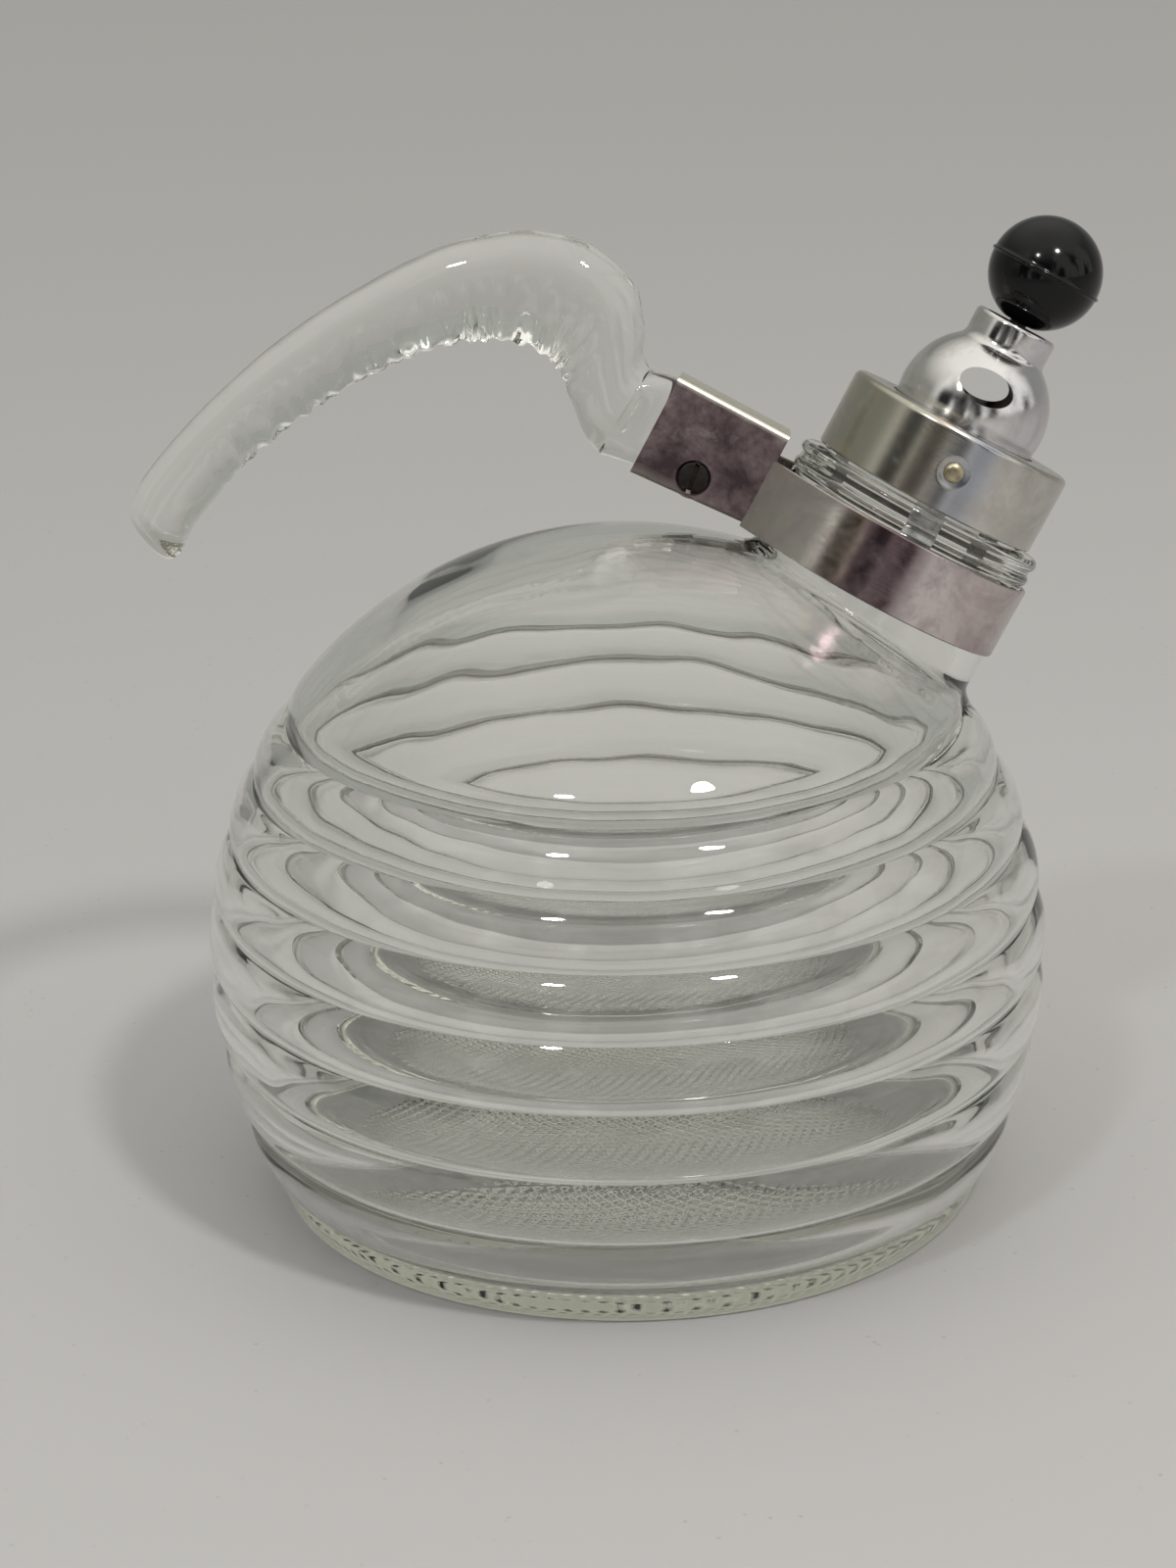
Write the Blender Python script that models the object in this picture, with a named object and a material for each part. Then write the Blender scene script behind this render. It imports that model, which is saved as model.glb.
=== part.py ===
"""Whistling kettle: a ribbed clear glass ball with a tilted neck, a clamped glass handle and a lift-off
whistle cap. Metres, +Z up. The origin is the centre of the flat base, and the neck leans towards +X."""

import math

import bmesh
import bpy
from mathutils import Matrix, Vector

# Ball
BALL_RADIUS = 0.0825
BALL_CENTRE_HEIGHT = 0.048
BALL_LOWER_HALF = 0.090  # half-height of the fuller lower half, if it were a whole ellipse
BALL_WALL = 0.0032
BASE_WALL = 0.0055
FLOOR_EDGE_RISE = 0.0012  # the inside floor turns up by this much
FLOOR_EDGE_WIDTH = 0.0035  # over this width
FOOT_HEIGHT = 0.0052
FOOT_INSET = 0.0022  # how far the flat base stays inside the ball's lowest ring
TOP_GROOVE_ANGLE = math.radians(36.0)  # latitude of the highest groove
RIB_ANGLE = math.radians(9.2)  # latitude from groove to groove
GROOVES = 7
GROOVE_DEPTH = 0.0017

# Neck, on an axis that starts on the ball's own axis
NECK_START_HEIGHT = 0.0265
NECK_TILT = math.radians(29.6)
NECK_RADIUS = 0.0252
NECK_WALL = 0.0047
NECK_FILLET = 0.0034
LIP_PROUD = 0.0004
LIP_HEIGHT = 0.0064
LIP_ROUND = 0.0014
MOUTH_FLARE = 0.0008

# Neck band and its bracket
BAND_TURN = math.radians(20.0)  # how far the band is turned on the neck, from straight behind it
BAND_STANDOFF = 0.0014  # from where the neck's axis leaves the ball to the band's lower edge
BAND_HEIGHT = 0.0142
BAND_SHEET = 0.0008
BRACKET_GAP = 0.0035  # from the neck to the bracket's crease
BRACKET_LENGTH = 0.0240
BRACKET_RISE = 0.0008  # the bracket's lower inner corner above the band's lower edge
BRACKET_INNER_HEIGHT = 0.0190
BRACKET_MOUTH_DROP = 0.0016
BRACKET_LIP = 0.0028
BRACKET_BEND = 0.0014

# Handle, clamp screw and pads
TENON_DEPTH = 0.0138
TENON_LENGTH = 0.0215
ARM_DEPTH = 0.0150
PAD_SHEET = 0.0010
PAD_SIZE = 0.0145
CLAMP_SCREW_RADIUS = 0.0019
CLAMP_HEAD_RADIUS = 0.0029
CLAMP_SCREW_OUT = 0.0127  # from the bracket's crease
CLAMP_SCREW_HEIGHT = 0.0040  # above the bracket's lower edge
CLAMP_HEAD_SUNK = 0.0003
CLAMP_TAIL = 0.0012  # how far the screw passes the nut
CLAMP_SLOT_WIDTH = 0.0011
CLAMP_SLOT_DEPTH = 0.0008
HEAD_ROOM = 0.0012  # round the screw's head, in the front pad
NUT_WIDTH = 0.0072
NUT_HEIGHT = 0.0028

# Cap
SKIRT_PROUD = 0.0025  # the skirt's outside beyond the neck's bore
SKIRT_HEIGHT = 0.0156
SKIRT_SHEET = 0.0007
SKIRT_BEND = 0.0013
RIVET_RADIUS = 0.0010
RIVET_HEAD_RADIUS = 0.0019
RIVET_HEAD_HEIGHT = 0.0006
RIVET_TAIL_HEIGHT = 0.0005
RIVET_HEIGHT = 0.0080
RIVETS = 3
RIVET_TURN = math.radians(-107.5)
LEAF_WIDTH = 0.0060
LEAF_SHEET = 0.0004
LEAF_ABOVE_RIVET = 0.0021
LEAF_REACH = 0.0135  # how far the leaves hang below the lip
DOME_RADIUS = 0.0149
DOME_SHEET = 0.0006
DOME_CENTRE_RISE = 0.0036
DOME_HOOK = 0.0011  # how far the rim turns out below the skirt
BOSS_RADIUS = 0.0084
BOSS_HEIGHT = 0.0061
BOSS_ROUND = 0.0011
WHISTLE_HOLE_WIDTH = 0.0110
WHISTLE_HOLE_HEIGHT = 0.0066
WHISTLE_HOLE_RISE = 0.0086
WHISTLE_TURN = math.radians(-112.0)
WHISTLE_PLATE_SHEET = 0.0006
WHISTLE_PLATE_SPACING = 0.0026
JET_RADIUS = 0.0021
KNOB_RADIUS = 0.0110
KNOB_RIDGE = 0.0004
KNOB_RIDGE_HEIGHT = 0.0006
KNOB_FLAT_RADIUS = 0.0030
KNOB_SCREW_RADIUS = 0.0017
KNOB_SCREW_DEPTH = 0.0080
KNOB_SCREW_HEAD_RADIUS = 0.0032
KNOB_SCREW_HEAD_HEIGHT = 0.0020
WASHER_RADIUS = 0.0045
WASHER_SHEET = 0.0007

# Clearances
GAP = 0.0003  # between pieces that touch on the real object
HOLE_GAP = 0.0003  # round a screw or a rivet
CUT_PAST = 0.001  # how far a cutter passes the faces it opens

# Roundness
BALL_STEPS = 44
NECK_STEPS = 40
CAP_STEPS = 32
SMALL_STEPS = 14
RIB_POINTS = 3


def clear_scene():
    for old in list(bpy.data.objects):
        bpy.data.objects.remove(old, do_unlink=True)


def make_material(name, colour, roughness, metallic=0.0, transmission=0.0):
    material = bpy.data.materials.new(name)
    material.use_nodes = True
    shader = material.node_tree.nodes["Principled BSDF"]
    shader.inputs["Base Color"].default_value = (*colour, 1.0)
    shader.inputs["Roughness"].default_value = roughness
    shader.inputs["Metallic"].default_value = metallic
    shader.inputs["Transmission Weight"].default_value = transmission
    return material


def make_empty(name, matrix):
    empty = bpy.data.objects.new(name, None)
    empty.matrix_world = matrix
    bpy.context.scene.collection.objects.link(empty)
    return empty


def finish(name, shape, material=None, parent=None, place=None):
    """Makes an object of a bmesh. One with no material is a cutter or a blank, and stays out of the model."""
    bmesh.ops.remove_doubles(shape, verts=shape.verts, dist=1e-6)
    bmesh.ops.recalc_face_normals(shape, faces=shape.faces)
    mesh = bpy.data.meshes.new(name)
    shape.to_mesh(mesh)
    shape.free()
    mesh.shade_smooth()
    mesh.set_sharp_from_angle(angle=math.radians(35))
    made = bpy.data.objects.new(name, mesh)
    bpy.context.scene.collection.objects.link(made)
    made.parent = parent
    made.matrix_local = place if place is not None else Matrix()
    if material is None:
        made.hide_render = True
        made.display_type = "WIRE"
    else:
        mesh.materials.append(material)
    return made


def turned(name, profile, steps, material=None, parent=None, place=None, ring=False):
    """Spins (radius, height) points about Z. A ring's profile closes on itself instead of on the axis."""
    shape = bmesh.new()
    points = [shape.verts.new((radius, 0.0, height)) for radius, height in profile]
    pairs = list(zip(points, points[1:]))
    if ring:
        pairs.append((points[-1], points[0]))
    edges = [shape.edges.new(pair) for pair in pairs]
    bmesh.ops.spin(
        shape, geom=points + edges, cent=(0, 0, 0), axis=(0, 0, 1), angle=math.tau, steps=steps, use_merge=True
    )
    return finish(name, shape, material, parent, place)


def cylinder(name, radius, low, high, steps, parent, place):
    return turned(name, [(0, high), (radius, high), (radius, low), (0, low)], steps, None, parent, place)


def boolean(target, other, operation="DIFFERENCE"):
    modifier = target.modifiers.new(other.name, "BOOLEAN")
    modifier.operation = operation
    modifier.object = other


def arc(centre, radius, start, end, points):
    """Points on an arc of (radius, height), from one angle to the other in degrees."""
    found = []
    for index in range(points + 1):
        angle = math.radians(start + (end - start) * index / points)
        found.append((centre[0] + radius * math.cos(angle), centre[1] + radius * math.sin(angle)))
    return found


# Ball and neck


def ball_radius_at(height, inset=0.0):
    rise = height - BALL_CENTRE_HEIGHT
    half = BALL_RADIUS if rise > 0 else BALL_LOWER_HALF
    share = rise / (half - inset)
    return (BALL_RADIUS - inset) * math.sqrt(max(0.0, 1.0 - share * share))


def ball_point(latitude, depth=0.0):
    half = BALL_RADIUS if latitude > 0 else BALL_LOWER_HALF
    return (
        (BALL_RADIUS - depth) * math.cos(latitude),
        BALL_CENTRE_HEIGHT + (half - depth) * math.sin(latitude),
    )


def ball_profile():
    """The outside from the pole to the base: a smooth dome, a scalloped rib between each two grooves, a foot."""
    points = [(0.0, ball_point(math.pi / 2)[1])]
    dome_steps = 7
    first_dip = TOP_GROOVE_ANGLE + 0.45 * RIB_ANGLE
    for index in range(1, dome_steps + 1):
        latitude = math.pi / 2 + (first_dip - math.pi / 2) * index / dome_steps
        points.append(ball_point(latitude))
    foot_latitude = math.asin((FOOT_HEIGHT - BALL_CENTRE_HEIGHT) / BALL_LOWER_HALF)
    grooves = [TOP_GROOVE_ANGLE - RIB_ANGLE * index for index in range(GROOVES)] + [foot_latitude]
    points.append(ball_point(grooves[0], GROOVE_DEPTH))
    for upper, lower in zip(grooves, grooves[1:]):
        for index in range(1, RIB_POINTS + 1):
            along = index / RIB_POINTS
            depth = GROOVE_DEPTH * (2 * along - 1) ** 2
            points.append(ball_point(upper + (lower - upper) * along, depth))
    foot_top = points[-1][0]
    foot_radius = ball_radius_at(0.0) - FOOT_INSET + GROOVE_DEPTH
    for index in range(1, 4):
        angle = math.pi / 2 * index / 3
        points.append(
            (foot_radius + (foot_top - foot_radius) * math.cos(angle), FOOT_HEIGHT * (1 - math.sin(angle)))
        )
    points.append((0.0, 0.0))
    return points


def cavity_profile():
    points = []
    steps = 13
    floor_latitude = -math.acos(0.78)
    for index in range(steps + 1):
        latitude = math.pi / 2 + (floor_latitude - math.pi / 2) * index / steps
        radius, height = ball_point(latitude, BALL_WALL)
        points.append((radius, max(height, BASE_WALL + FLOOR_EDGE_RISE)))
    points[0] = (0.0, points[0][1])
    points.append((points[-1][0] - FLOOR_EDGE_WIDTH, BASE_WALL))
    points.append((0.0, BASE_WALL))
    return points


def neck_exit():
    """How far along the neck's axis it leaves the ball."""
    drop = BALL_CENTRE_HEIGHT - NECK_START_HEIGHT
    along = drop * math.cos(NECK_TILT)
    return along + math.sqrt(along**2 - drop**2 + BALL_RADIUS**2)


BORE_RADIUS = NECK_RADIUS - NECK_WALL
LIP_RADIUS = NECK_RADIUS + LIP_PROUD
BAND_LOW = neck_exit() + BAND_STANDOFF
BAND_TOP = BAND_LOW + BAND_HEIGHT
LIP_LOW = BAND_TOP + GAP
LIP_TOP = LIP_LOW + LIP_HEIGHT


def neck_profile():
    """The neck's outside with its rounded lip, as a solid blank from inside the ball upwards."""
    lip = [(NECK_RADIUS, LIP_LOW)]
    lip += arc((NECK_RADIUS, LIP_LOW + LIP_PROUD), LIP_PROUD, -60, 0, 2)
    lip += arc((LIP_RADIUS - LIP_ROUND, LIP_TOP - LIP_ROUND), LIP_ROUND, 0, 90, 4)
    start = BALL_RADIUS * 0.75
    return [(0.0, LIP_TOP), *reversed(lip), (NECK_RADIUS, start), (0.0, start)]


def fillet_profile():
    """A concave ring where the neck leaves the ball, about the line from the ball's centre to the neck."""
    edge = NECK_RADIUS + NECK_FILLET
    foot = math.sqrt(BALL_RADIUS**2 - edge**2)
    curve = arc((edge, foot + NECK_FILLET), NECK_FILLET, -90, -165, 5)
    inside = NECK_RADIUS - NECK_WALL * 0.5
    return [*curve, (inside, curve[-1][1]), (inside, foot - 0.003), (edge, foot - 0.003)]


def make_body(glass, neck):
    body = turned("glass_body", ball_profile(), BALL_STEPS, glass)
    boolean(body, turned("neck_blank", neck_profile(), NECK_STEPS, None, neck), "UNION")
    exit_point = Vector(
        (math.sin(NECK_TILT) * neck_exit(), 0.0, NECK_START_HEIGHT + math.cos(NECK_TILT) * neck_exit())
    )
    centre = Vector((0.0, 0.0, BALL_CENTRE_HEIGHT))
    lean = math.atan2(exit_point.x, exit_point.z - centre.z)
    ring_place = Matrix.Translation(centre) @ Matrix.Rotation(lean, 4, "Y")
    boolean(body, turned("fillet_blank", fillet_profile(), NECK_STEPS, None, None, ring_place, True), "UNION")
    boolean(body, turned("cavity_cutter", cavity_profile(), BALL_STEPS))
    mouth = BORE_RADIUS + MOUTH_FLARE
    bore = [
        (0.0, LIP_TOP + CUT_PAST),
        (mouth, LIP_TOP + CUT_PAST),
        (mouth, LIP_TOP - 0.0002),
        (BORE_RADIUS, LIP_TOP - LIP_ROUND),
        (BORE_RADIUS, BALL_RADIUS * 0.7),
        (0.0, BALL_RADIUS * 0.7),
    ]
    boolean(body, turned("bore_cutter", bore, NECK_STEPS, None, neck))
    return body


# Neck band with its folded bracket

BAND_INNER = NECK_RADIUS + GAP
BAND_MIDDLE = BAND_INNER + BAND_SHEET / 2
CHEEK_INSIDE = TENON_DEPTH / 2 + GAP + PAD_SHEET + GAP
CHEEK_OUTSIDE = CHEEK_INSIDE + BAND_SHEET
CREASE = NECK_RADIUS + BRACKET_GAP  # distance of the crease from the neck's axis
MOUTH = CREASE + BRACKET_LENGTH
BRACKET_LOW = BAND_LOW + BRACKET_RISE
BRACKET_TOP = BRACKET_LOW + BRACKET_INNER_HEIGHT


def bracket_low_at(out):
    """The bracket's lower edge, which falls from the crease to the mouth, at a distance from the neck's axis."""
    return BRACKET_LOW - BRACKET_MOUTH_DROP * (out - CREASE) / BRACKET_LENGTH


SCREW_OUT = CREASE + CLAMP_SCREW_OUT
SCREW_UP = bracket_low_at(SCREW_OUT) + CLAMP_SCREW_HEIGHT


def rounded(corners, radius, steps=3):
    """A closed outline with each (x, y, sharp) corner rounded, except where sharp is true."""
    found = []
    count = len(corners)
    for index, (x, y, sharp) in enumerate(corners):
        here = Vector((x, y))
        if sharp:
            found.append(here)
            continue
        before = (Vector(corners[index - 1][:2]) - here).normalized()
        after = (Vector(corners[(index + 1) % count][:2]) - here).normalized()
        for step in range(steps + 1):
            share = step / steps
            start, end = here + before * radius, here + after * radius
            found.append(start.lerp(here, share).lerp(here.lerp(end, share), share))
    return found


def channel_outline(low, top):
    """The bracket across its length: closed above, with a narrow lip turned in below each cheek."""
    outside, inside = CHEEK_OUTSIDE, CHEEK_INSIDE
    outer = rounded(
        [
            (-outside + BRACKET_LIP, low, True),
            (-outside, low, False),
            (-outside, top, False),
            (outside, top, False),
            (outside, low, False),
            (outside - BRACKET_LIP, low, True),
        ],
        BRACKET_BEND,
    )
    inner = rounded(
        [
            (outside - BRACKET_LIP, low + BAND_SHEET, True),
            (inside, low + BAND_SHEET, False),
            (inside, top - BAND_SHEET, False),
            (-inside, top - BAND_SHEET, False),
            (-inside, low + BAND_SHEET, False),
            (-outside + BRACKET_LIP, low + BAND_SHEET, True),
        ],
        BRACKET_BEND - BAND_SHEET,
    )
    return outer + inner


def make_channel(name, parent):
    shape = bmesh.new()
    loops = []
    for out in (MOUTH, CREASE):
        outline = channel_outline(bracket_low_at(out), BRACKET_TOP)
        loops.append([shape.verts.new((-out, point.x, point.y)) for point in outline])
    count = len(loops[0])
    for index in range(count):
        after = (index + 1) % count
        shape.faces.new((loops[0][index], loops[0][after], loops[1][after], loops[1][index]))
    for loop in loops:
        shape.faces.new(loop)
    return finish(name, shape, None, parent)


def band_path():
    """The strip's middle line: a crease, a straight run to the neck, round it, and back to the other crease."""
    crease = Vector((-CREASE - BAND_SHEET * 0.4, -CHEEK_OUTSIDE + BAND_SHEET / 2))
    lean = math.atan2(crease.y, crease.x)
    spread = math.acos(BAND_MIDDLE / crease.length)
    start = lean + spread
    end = -start
    points = [crease]
    steps = 40
    for index in range(steps + 1):
        angle = start + (end - start) * index / steps
        points.append(Vector((BAND_MIDDLE * math.cos(angle), BAND_MIDDLE * math.sin(angle))))
    points.append(Vector((crease.x, -crease.y)))
    return points


def strip_outline(path, thickness):
    """Both sides of a strip that follows a path, as one closed outline."""
    left, right = [], []
    for index, point in enumerate(path):
        before = path[max(index - 1, 0)]
        after = path[min(index + 1, len(path) - 1)]
        along = (after - before).normalized()
        side = Vector((-along.y, along.x)) * thickness / 2
        left.append(point + side)
        right.append(point - side)
    return left + right[::-1]


def extruded(name, outline, low, high, material=None, parent=None, place=None):
    shape = bmesh.new()
    face = shape.faces.new([shape.verts.new((point.x, point.y, low)) for point in outline])
    moved = bmesh.ops.extrude_face_region(shape, geom=[face])
    top = [item for item in moved["geom"] if isinstance(item, bmesh.types.BMVert)]
    bmesh.ops.translate(shape, verts=top, vec=(0, 0, high - low))
    return finish(name, shape, material, parent, place)


def across(x, z):
    """A place whose own Z axis points along -Y, for what runs through the bracket from the front."""
    return Matrix.Translation((x, 0.0, z)) @ Matrix.Rotation(math.radians(90), 4, "X")


def make_band(steel, band_axis):
    band = extruded("neck_band", strip_outline(band_path(), BAND_SHEET), BAND_LOW, BAND_TOP, steel, band_axis)
    boolean(band, make_channel("bracket_blank", band_axis), "UNION")
    place = across(-SCREW_OUT, SCREW_UP)
    hole_radius = CLAMP_SCREW_RADIUS + HOLE_GAP
    head_hole = CLAMP_HEAD_RADIUS + HOLE_GAP
    cone_start = CHEEK_OUTSIDE - 0.0005
    cone_end = cone_start - (head_hole - hole_radius)
    dimple_start = CHEEK_OUTSIDE - BAND_SHEET * 0.75
    dimple = [
        (0.0, dimple_start),
        (head_hole + 0.0006, dimple_start),
        (hole_radius + 0.0007, cone_end),
        (0.0, cone_end),
    ]
    boolean(band, turned("dimple_blank", dimple, SMALL_STEPS, None, band_axis, place), "UNION")
    hole = [
        (0.0, CHEEK_OUTSIDE + CUT_PAST),
        (head_hole, CHEEK_OUTSIDE + CUT_PAST),
        (head_hole, cone_start),
        (hole_radius, cone_end),
        (hole_radius, -CHEEK_OUTSIDE - CUT_PAST),
        (0.0, -CHEEK_OUTSIDE - CUT_PAST),
    ]
    boolean(band, turned("clamp_hole_cutter", hole, SMALL_STEPS, None, band_axis, place))
    return band


# Handle

# Stations along the handle from its tip to the bracket, each a point on the upper edge and one on the lower:
# distance outward from the clamp screw, then rise above the tenon's middle
HANDLE_STATIONS = (
    (0.0947, -0.0620, 0.0819, -0.0666),
    (0.0947, -0.0564, 0.0818, -0.0606),
    (0.0922, -0.0453, 0.0794, -0.0500),
    (0.0882, -0.0331, 0.0757, -0.0398),
    (0.0832, -0.0210, 0.0699, -0.0285),
    (0.0757, -0.0075, 0.0623, -0.0166),
    (0.0650, 0.0079, 0.0528, -0.0062),
    (0.0571, 0.0152, 0.0468, -0.0026),
    (0.0495, 0.0203, 0.0406, -0.0001),
    (0.0384, 0.0232, 0.0350, -0.0002),
    (0.0271, 0.0203, 0.0314, -0.0021),
    (0.0217, 0.0141, 0.0266, -0.0060),
    (0.0194, 0.0094, 0.0220, -0.0098),
    (0.0169, 0.0075, 0.0180, -0.0113),
)
TIP_LENGTH = 0.0048
NECK_OF_TENON = 0.0008  # from the bracket's mouth to where the tenon reaches its full section


def curve_point(values, at):
    """A Catmull-Rom curve through the values, at a place counted in stations."""
    index = min(int(at), len(values) - 2)
    share = at - index
    before = values[max(index - 1, 0)]
    start, end = values[index], values[index + 1]
    after = values[min(index + 2, len(values) - 1)]
    return 0.5 * (
        2 * start
        + (end - before) * share
        + (2 * before - 5 * start + 4 * end - after) * share**2
        + (3 * start - before - 3 * end + after) * share**3
    )


def station_at(stations, at, straight_from):
    """Curved along the arm, and straight between the stations inside the bracket."""
    if at < straight_from:
        return curve_point(stations, at)
    index = min(int(at), len(stations) - 2)
    return stations[index].lerp(stations[index + 1], at - index)


TENON_UP = BRACKET_LOW + BRACKET_INNER_HEIGHT / 2


def tenon_station(out):
    """The glass inside the bracket, at a distance from the neck's axis, clear of the bracket above and below."""
    low = bracket_low_at(out) + BAND_SHEET + GAP
    top = BRACKET_TOP - BAND_SHEET - GAP
    return Vector((-out, top, -out, low))


def make_handle(glass, band_axis):
    """Lofted sections: oval along the arm, squarer where the tenon fills the bracket."""
    stations = []
    for upper_out, upper_rise, lower_out, lower_rise in HANDLE_STATIONS:
        upper = (-SCREW_OUT - upper_out, TENON_UP + upper_rise)
        stations.append(Vector((*upper, -SCREW_OUT - lower_out, TENON_UP + lower_rise)))
    stations.append(tenon_station(MOUTH + NECK_OF_TENON))
    stations.append(tenon_station(SCREW_OUT))
    stations.append(tenon_station(MOUTH - TENON_LENGTH))
    squarer_from = len(HANDLE_STATIONS) - 1
    shape = bmesh.new()
    rings = []
    sides = 16
    per_station = 2
    for step in range((len(stations) - 1) * per_station + 1):
        at = step / per_station
        here = station_at(stations, at, squarer_from)
        centre = Vector((here[0] + here[2], 0.0, here[1] + here[3])) / 2
        wide = Vector((here[0] - here[2], 0.0, here[1] - here[3])) / 2
        square = min(1.0, max(0.0, at - squarer_from + 0.5))
        depth = ARM_DEPTH + (TENON_DEPTH - ARM_DEPTH) * square
        power = 1.0 - 0.62 * square
        ring = []
        for index in range(sides):
            angle = math.tau * (index + 0.5) / sides
            cosine, sine = math.cos(angle), math.sin(angle)
            along_wide = math.copysign(abs(cosine) ** power, cosine)
            along_deep = math.copysign(abs(sine) ** power, sine) * depth / 2
            ring.append(shape.verts.new(centre + wide * along_wide + Vector((0.0, along_deep, 0.0))))
        rings.append(ring)
    for first, second in zip(rings, rings[1:]):
        for index in range(sides):
            after = (index + 1) % sides
            shape.faces.new((first[index], first[after], second[after], second[index]))
    ends = [Vector((part[0] + part[2], 0.0, part[1] + part[3])) / 2 for part in stations[:2]]
    onward = (ends[0] - ends[1]).normalized()
    tip = shape.verts.new(ends[0] + onward * TIP_LENGTH)
    nearer = rings[0]
    for shrink, reach in ((0.88, 0.48), (0.56, 0.84)):
        further = []
        for vert in rings[0]:
            further.append(shape.verts.new(ends[0] + (vert.co - ends[0]) * shrink + onward * TIP_LENGTH * reach))
        for index in range(sides):
            after = (index + 1) % sides
            shape.faces.new((nearer[after], nearer[index], further[index], further[after]))
        nearer = further
    for index in range(sides):
        shape.faces.new((nearer[(index + 1) % sides], nearer[index], tip))
    shape.faces.new(rings[-1])
    handle = finish("glass_handle", shape, glass, band_axis)
    drill = cylinder(
        "tenon_hole_cutter",
        CLAMP_SCREW_RADIUS + HOLE_GAP,
        -TENON_DEPTH,
        TENON_DEPTH,
        SMALL_STEPS,
        band_axis,
        across(-SCREW_OUT, SCREW_UP),
    )
    boolean(handle, drill)
    return handle


def make_pads(fibre, band_axis):
    """Soft pads between the glass and the two cheeks, bored for the clamp screw."""
    near = TENON_DEPTH / 2 + GAP
    half = PAD_SIZE / 2
    outline = [Vector(corner) for corner in ((-half, -half), (half, -half), (half, half), (-half, half))]
    for name, side in (("handle_pad_front", 1), ("handle_pad_rear", -1)):
        low, high = sorted((near * side, (near + PAD_SHEET) * side))
        place = across(-SCREW_OUT, (tenon_station(SCREW_OUT)[1] + tenon_station(SCREW_OUT)[3]) / 2)
        pad = extruded(name, outline, low, high, fibre, band_axis, place)
        hole = CLAMP_HEAD_RADIUS + HEAD_ROOM if side > 0 else CLAMP_SCREW_RADIUS + HOLE_GAP
        bore = (hole, low - CUT_PAST, high + CUT_PAST, SMALL_STEPS)
        boolean(pad, cylinder(name + "_cutter", *bore, band_axis, across(-SCREW_OUT, SCREW_UP)))


def make_clamp(nickel, band_axis):
    """A flat-headed slotted screw that lies flush in the front cheek, and the square nut behind."""
    head_face = CHEEK_OUTSIDE - CLAMP_HEAD_SUNK
    cone_start = head_face - 0.0001
    cone_end = cone_start - (CLAMP_HEAD_RADIUS - CLAMP_SCREW_RADIUS)
    nut_near = -CHEEK_OUTSIDE - GAP
    tail = nut_near - NUT_HEIGHT - CLAMP_TAIL
    profile = [
        (0.0, head_face),
        (CLAMP_HEAD_RADIUS, head_face),
        (CLAMP_HEAD_RADIUS, cone_start),
        (CLAMP_SCREW_RADIUS, cone_end),
        (CLAMP_SCREW_RADIUS, tail + 0.0004),
        (CLAMP_SCREW_RADIUS - 0.0004, tail),
        (0.0, tail),
    ]
    place = across(-SCREW_OUT, SCREW_UP)
    screw = turned("clamp_screw", profile, SMALL_STEPS, nickel, band_axis, place)
    half = CLAMP_SLOT_WIDTH / 2
    reach = CLAMP_HEAD_RADIUS * 1.3
    slot = [Vector(corner) for corner in ((-half, -reach), (half, -reach), (half, reach), (-half, reach))]
    cut = (head_face - CLAMP_SLOT_DEPTH, head_face + CUT_PAST)
    boolean(screw, extruded("slot_cutter", slot, *cut, None, band_axis, place))
    side = NUT_WIDTH / 2
    square = [Vector(corner) for corner in ((-side, -side), (side, -side), (side, side), (-side, side))]
    nut = extruded("clamp_nut", square, nut_near - NUT_HEIGHT, nut_near, nickel, band_axis, place)
    bore = (CLAMP_SCREW_RADIUS + HOLE_GAP, nut_near - NUT_HEIGHT - CUT_PAST, nut_near + CUT_PAST, SMALL_STEPS)
    boolean(nut, cylinder("nut_bore_cutter", *bore, band_axis, place))


# Cap. Heights here are above the lip.

SKIRT_RADIUS = BORE_RADIUS + SKIRT_PROUD
SKIRT_INSIDE = SKIRT_RADIUS - SKIRT_SHEET
SKIRT_TOP = GAP + SKIRT_HEIGHT
DOME_HOLE = DOME_RADIUS + GAP
DOME_CENTRE = SKIRT_TOP + DOME_CENTRE_RISE
BOSS_FOOT = DOME_CENTRE + math.sqrt(DOME_RADIUS**2 - (BOSS_RADIUS + 0.0004) ** 2)
BOSS_TOP = BOSS_FOOT + BOSS_HEIGHT


def round_the_cap(index, count, turn):
    return Matrix.Rotation(turn + math.tau * index / count, 4, "Z")


def outward(turn, height):
    """A place whose own Z axis points straight out of the cap at this height."""
    return turn @ Matrix.Translation((0.0, 0.0, height)) @ Matrix.Rotation(math.radians(90), 4, "Y")


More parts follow.
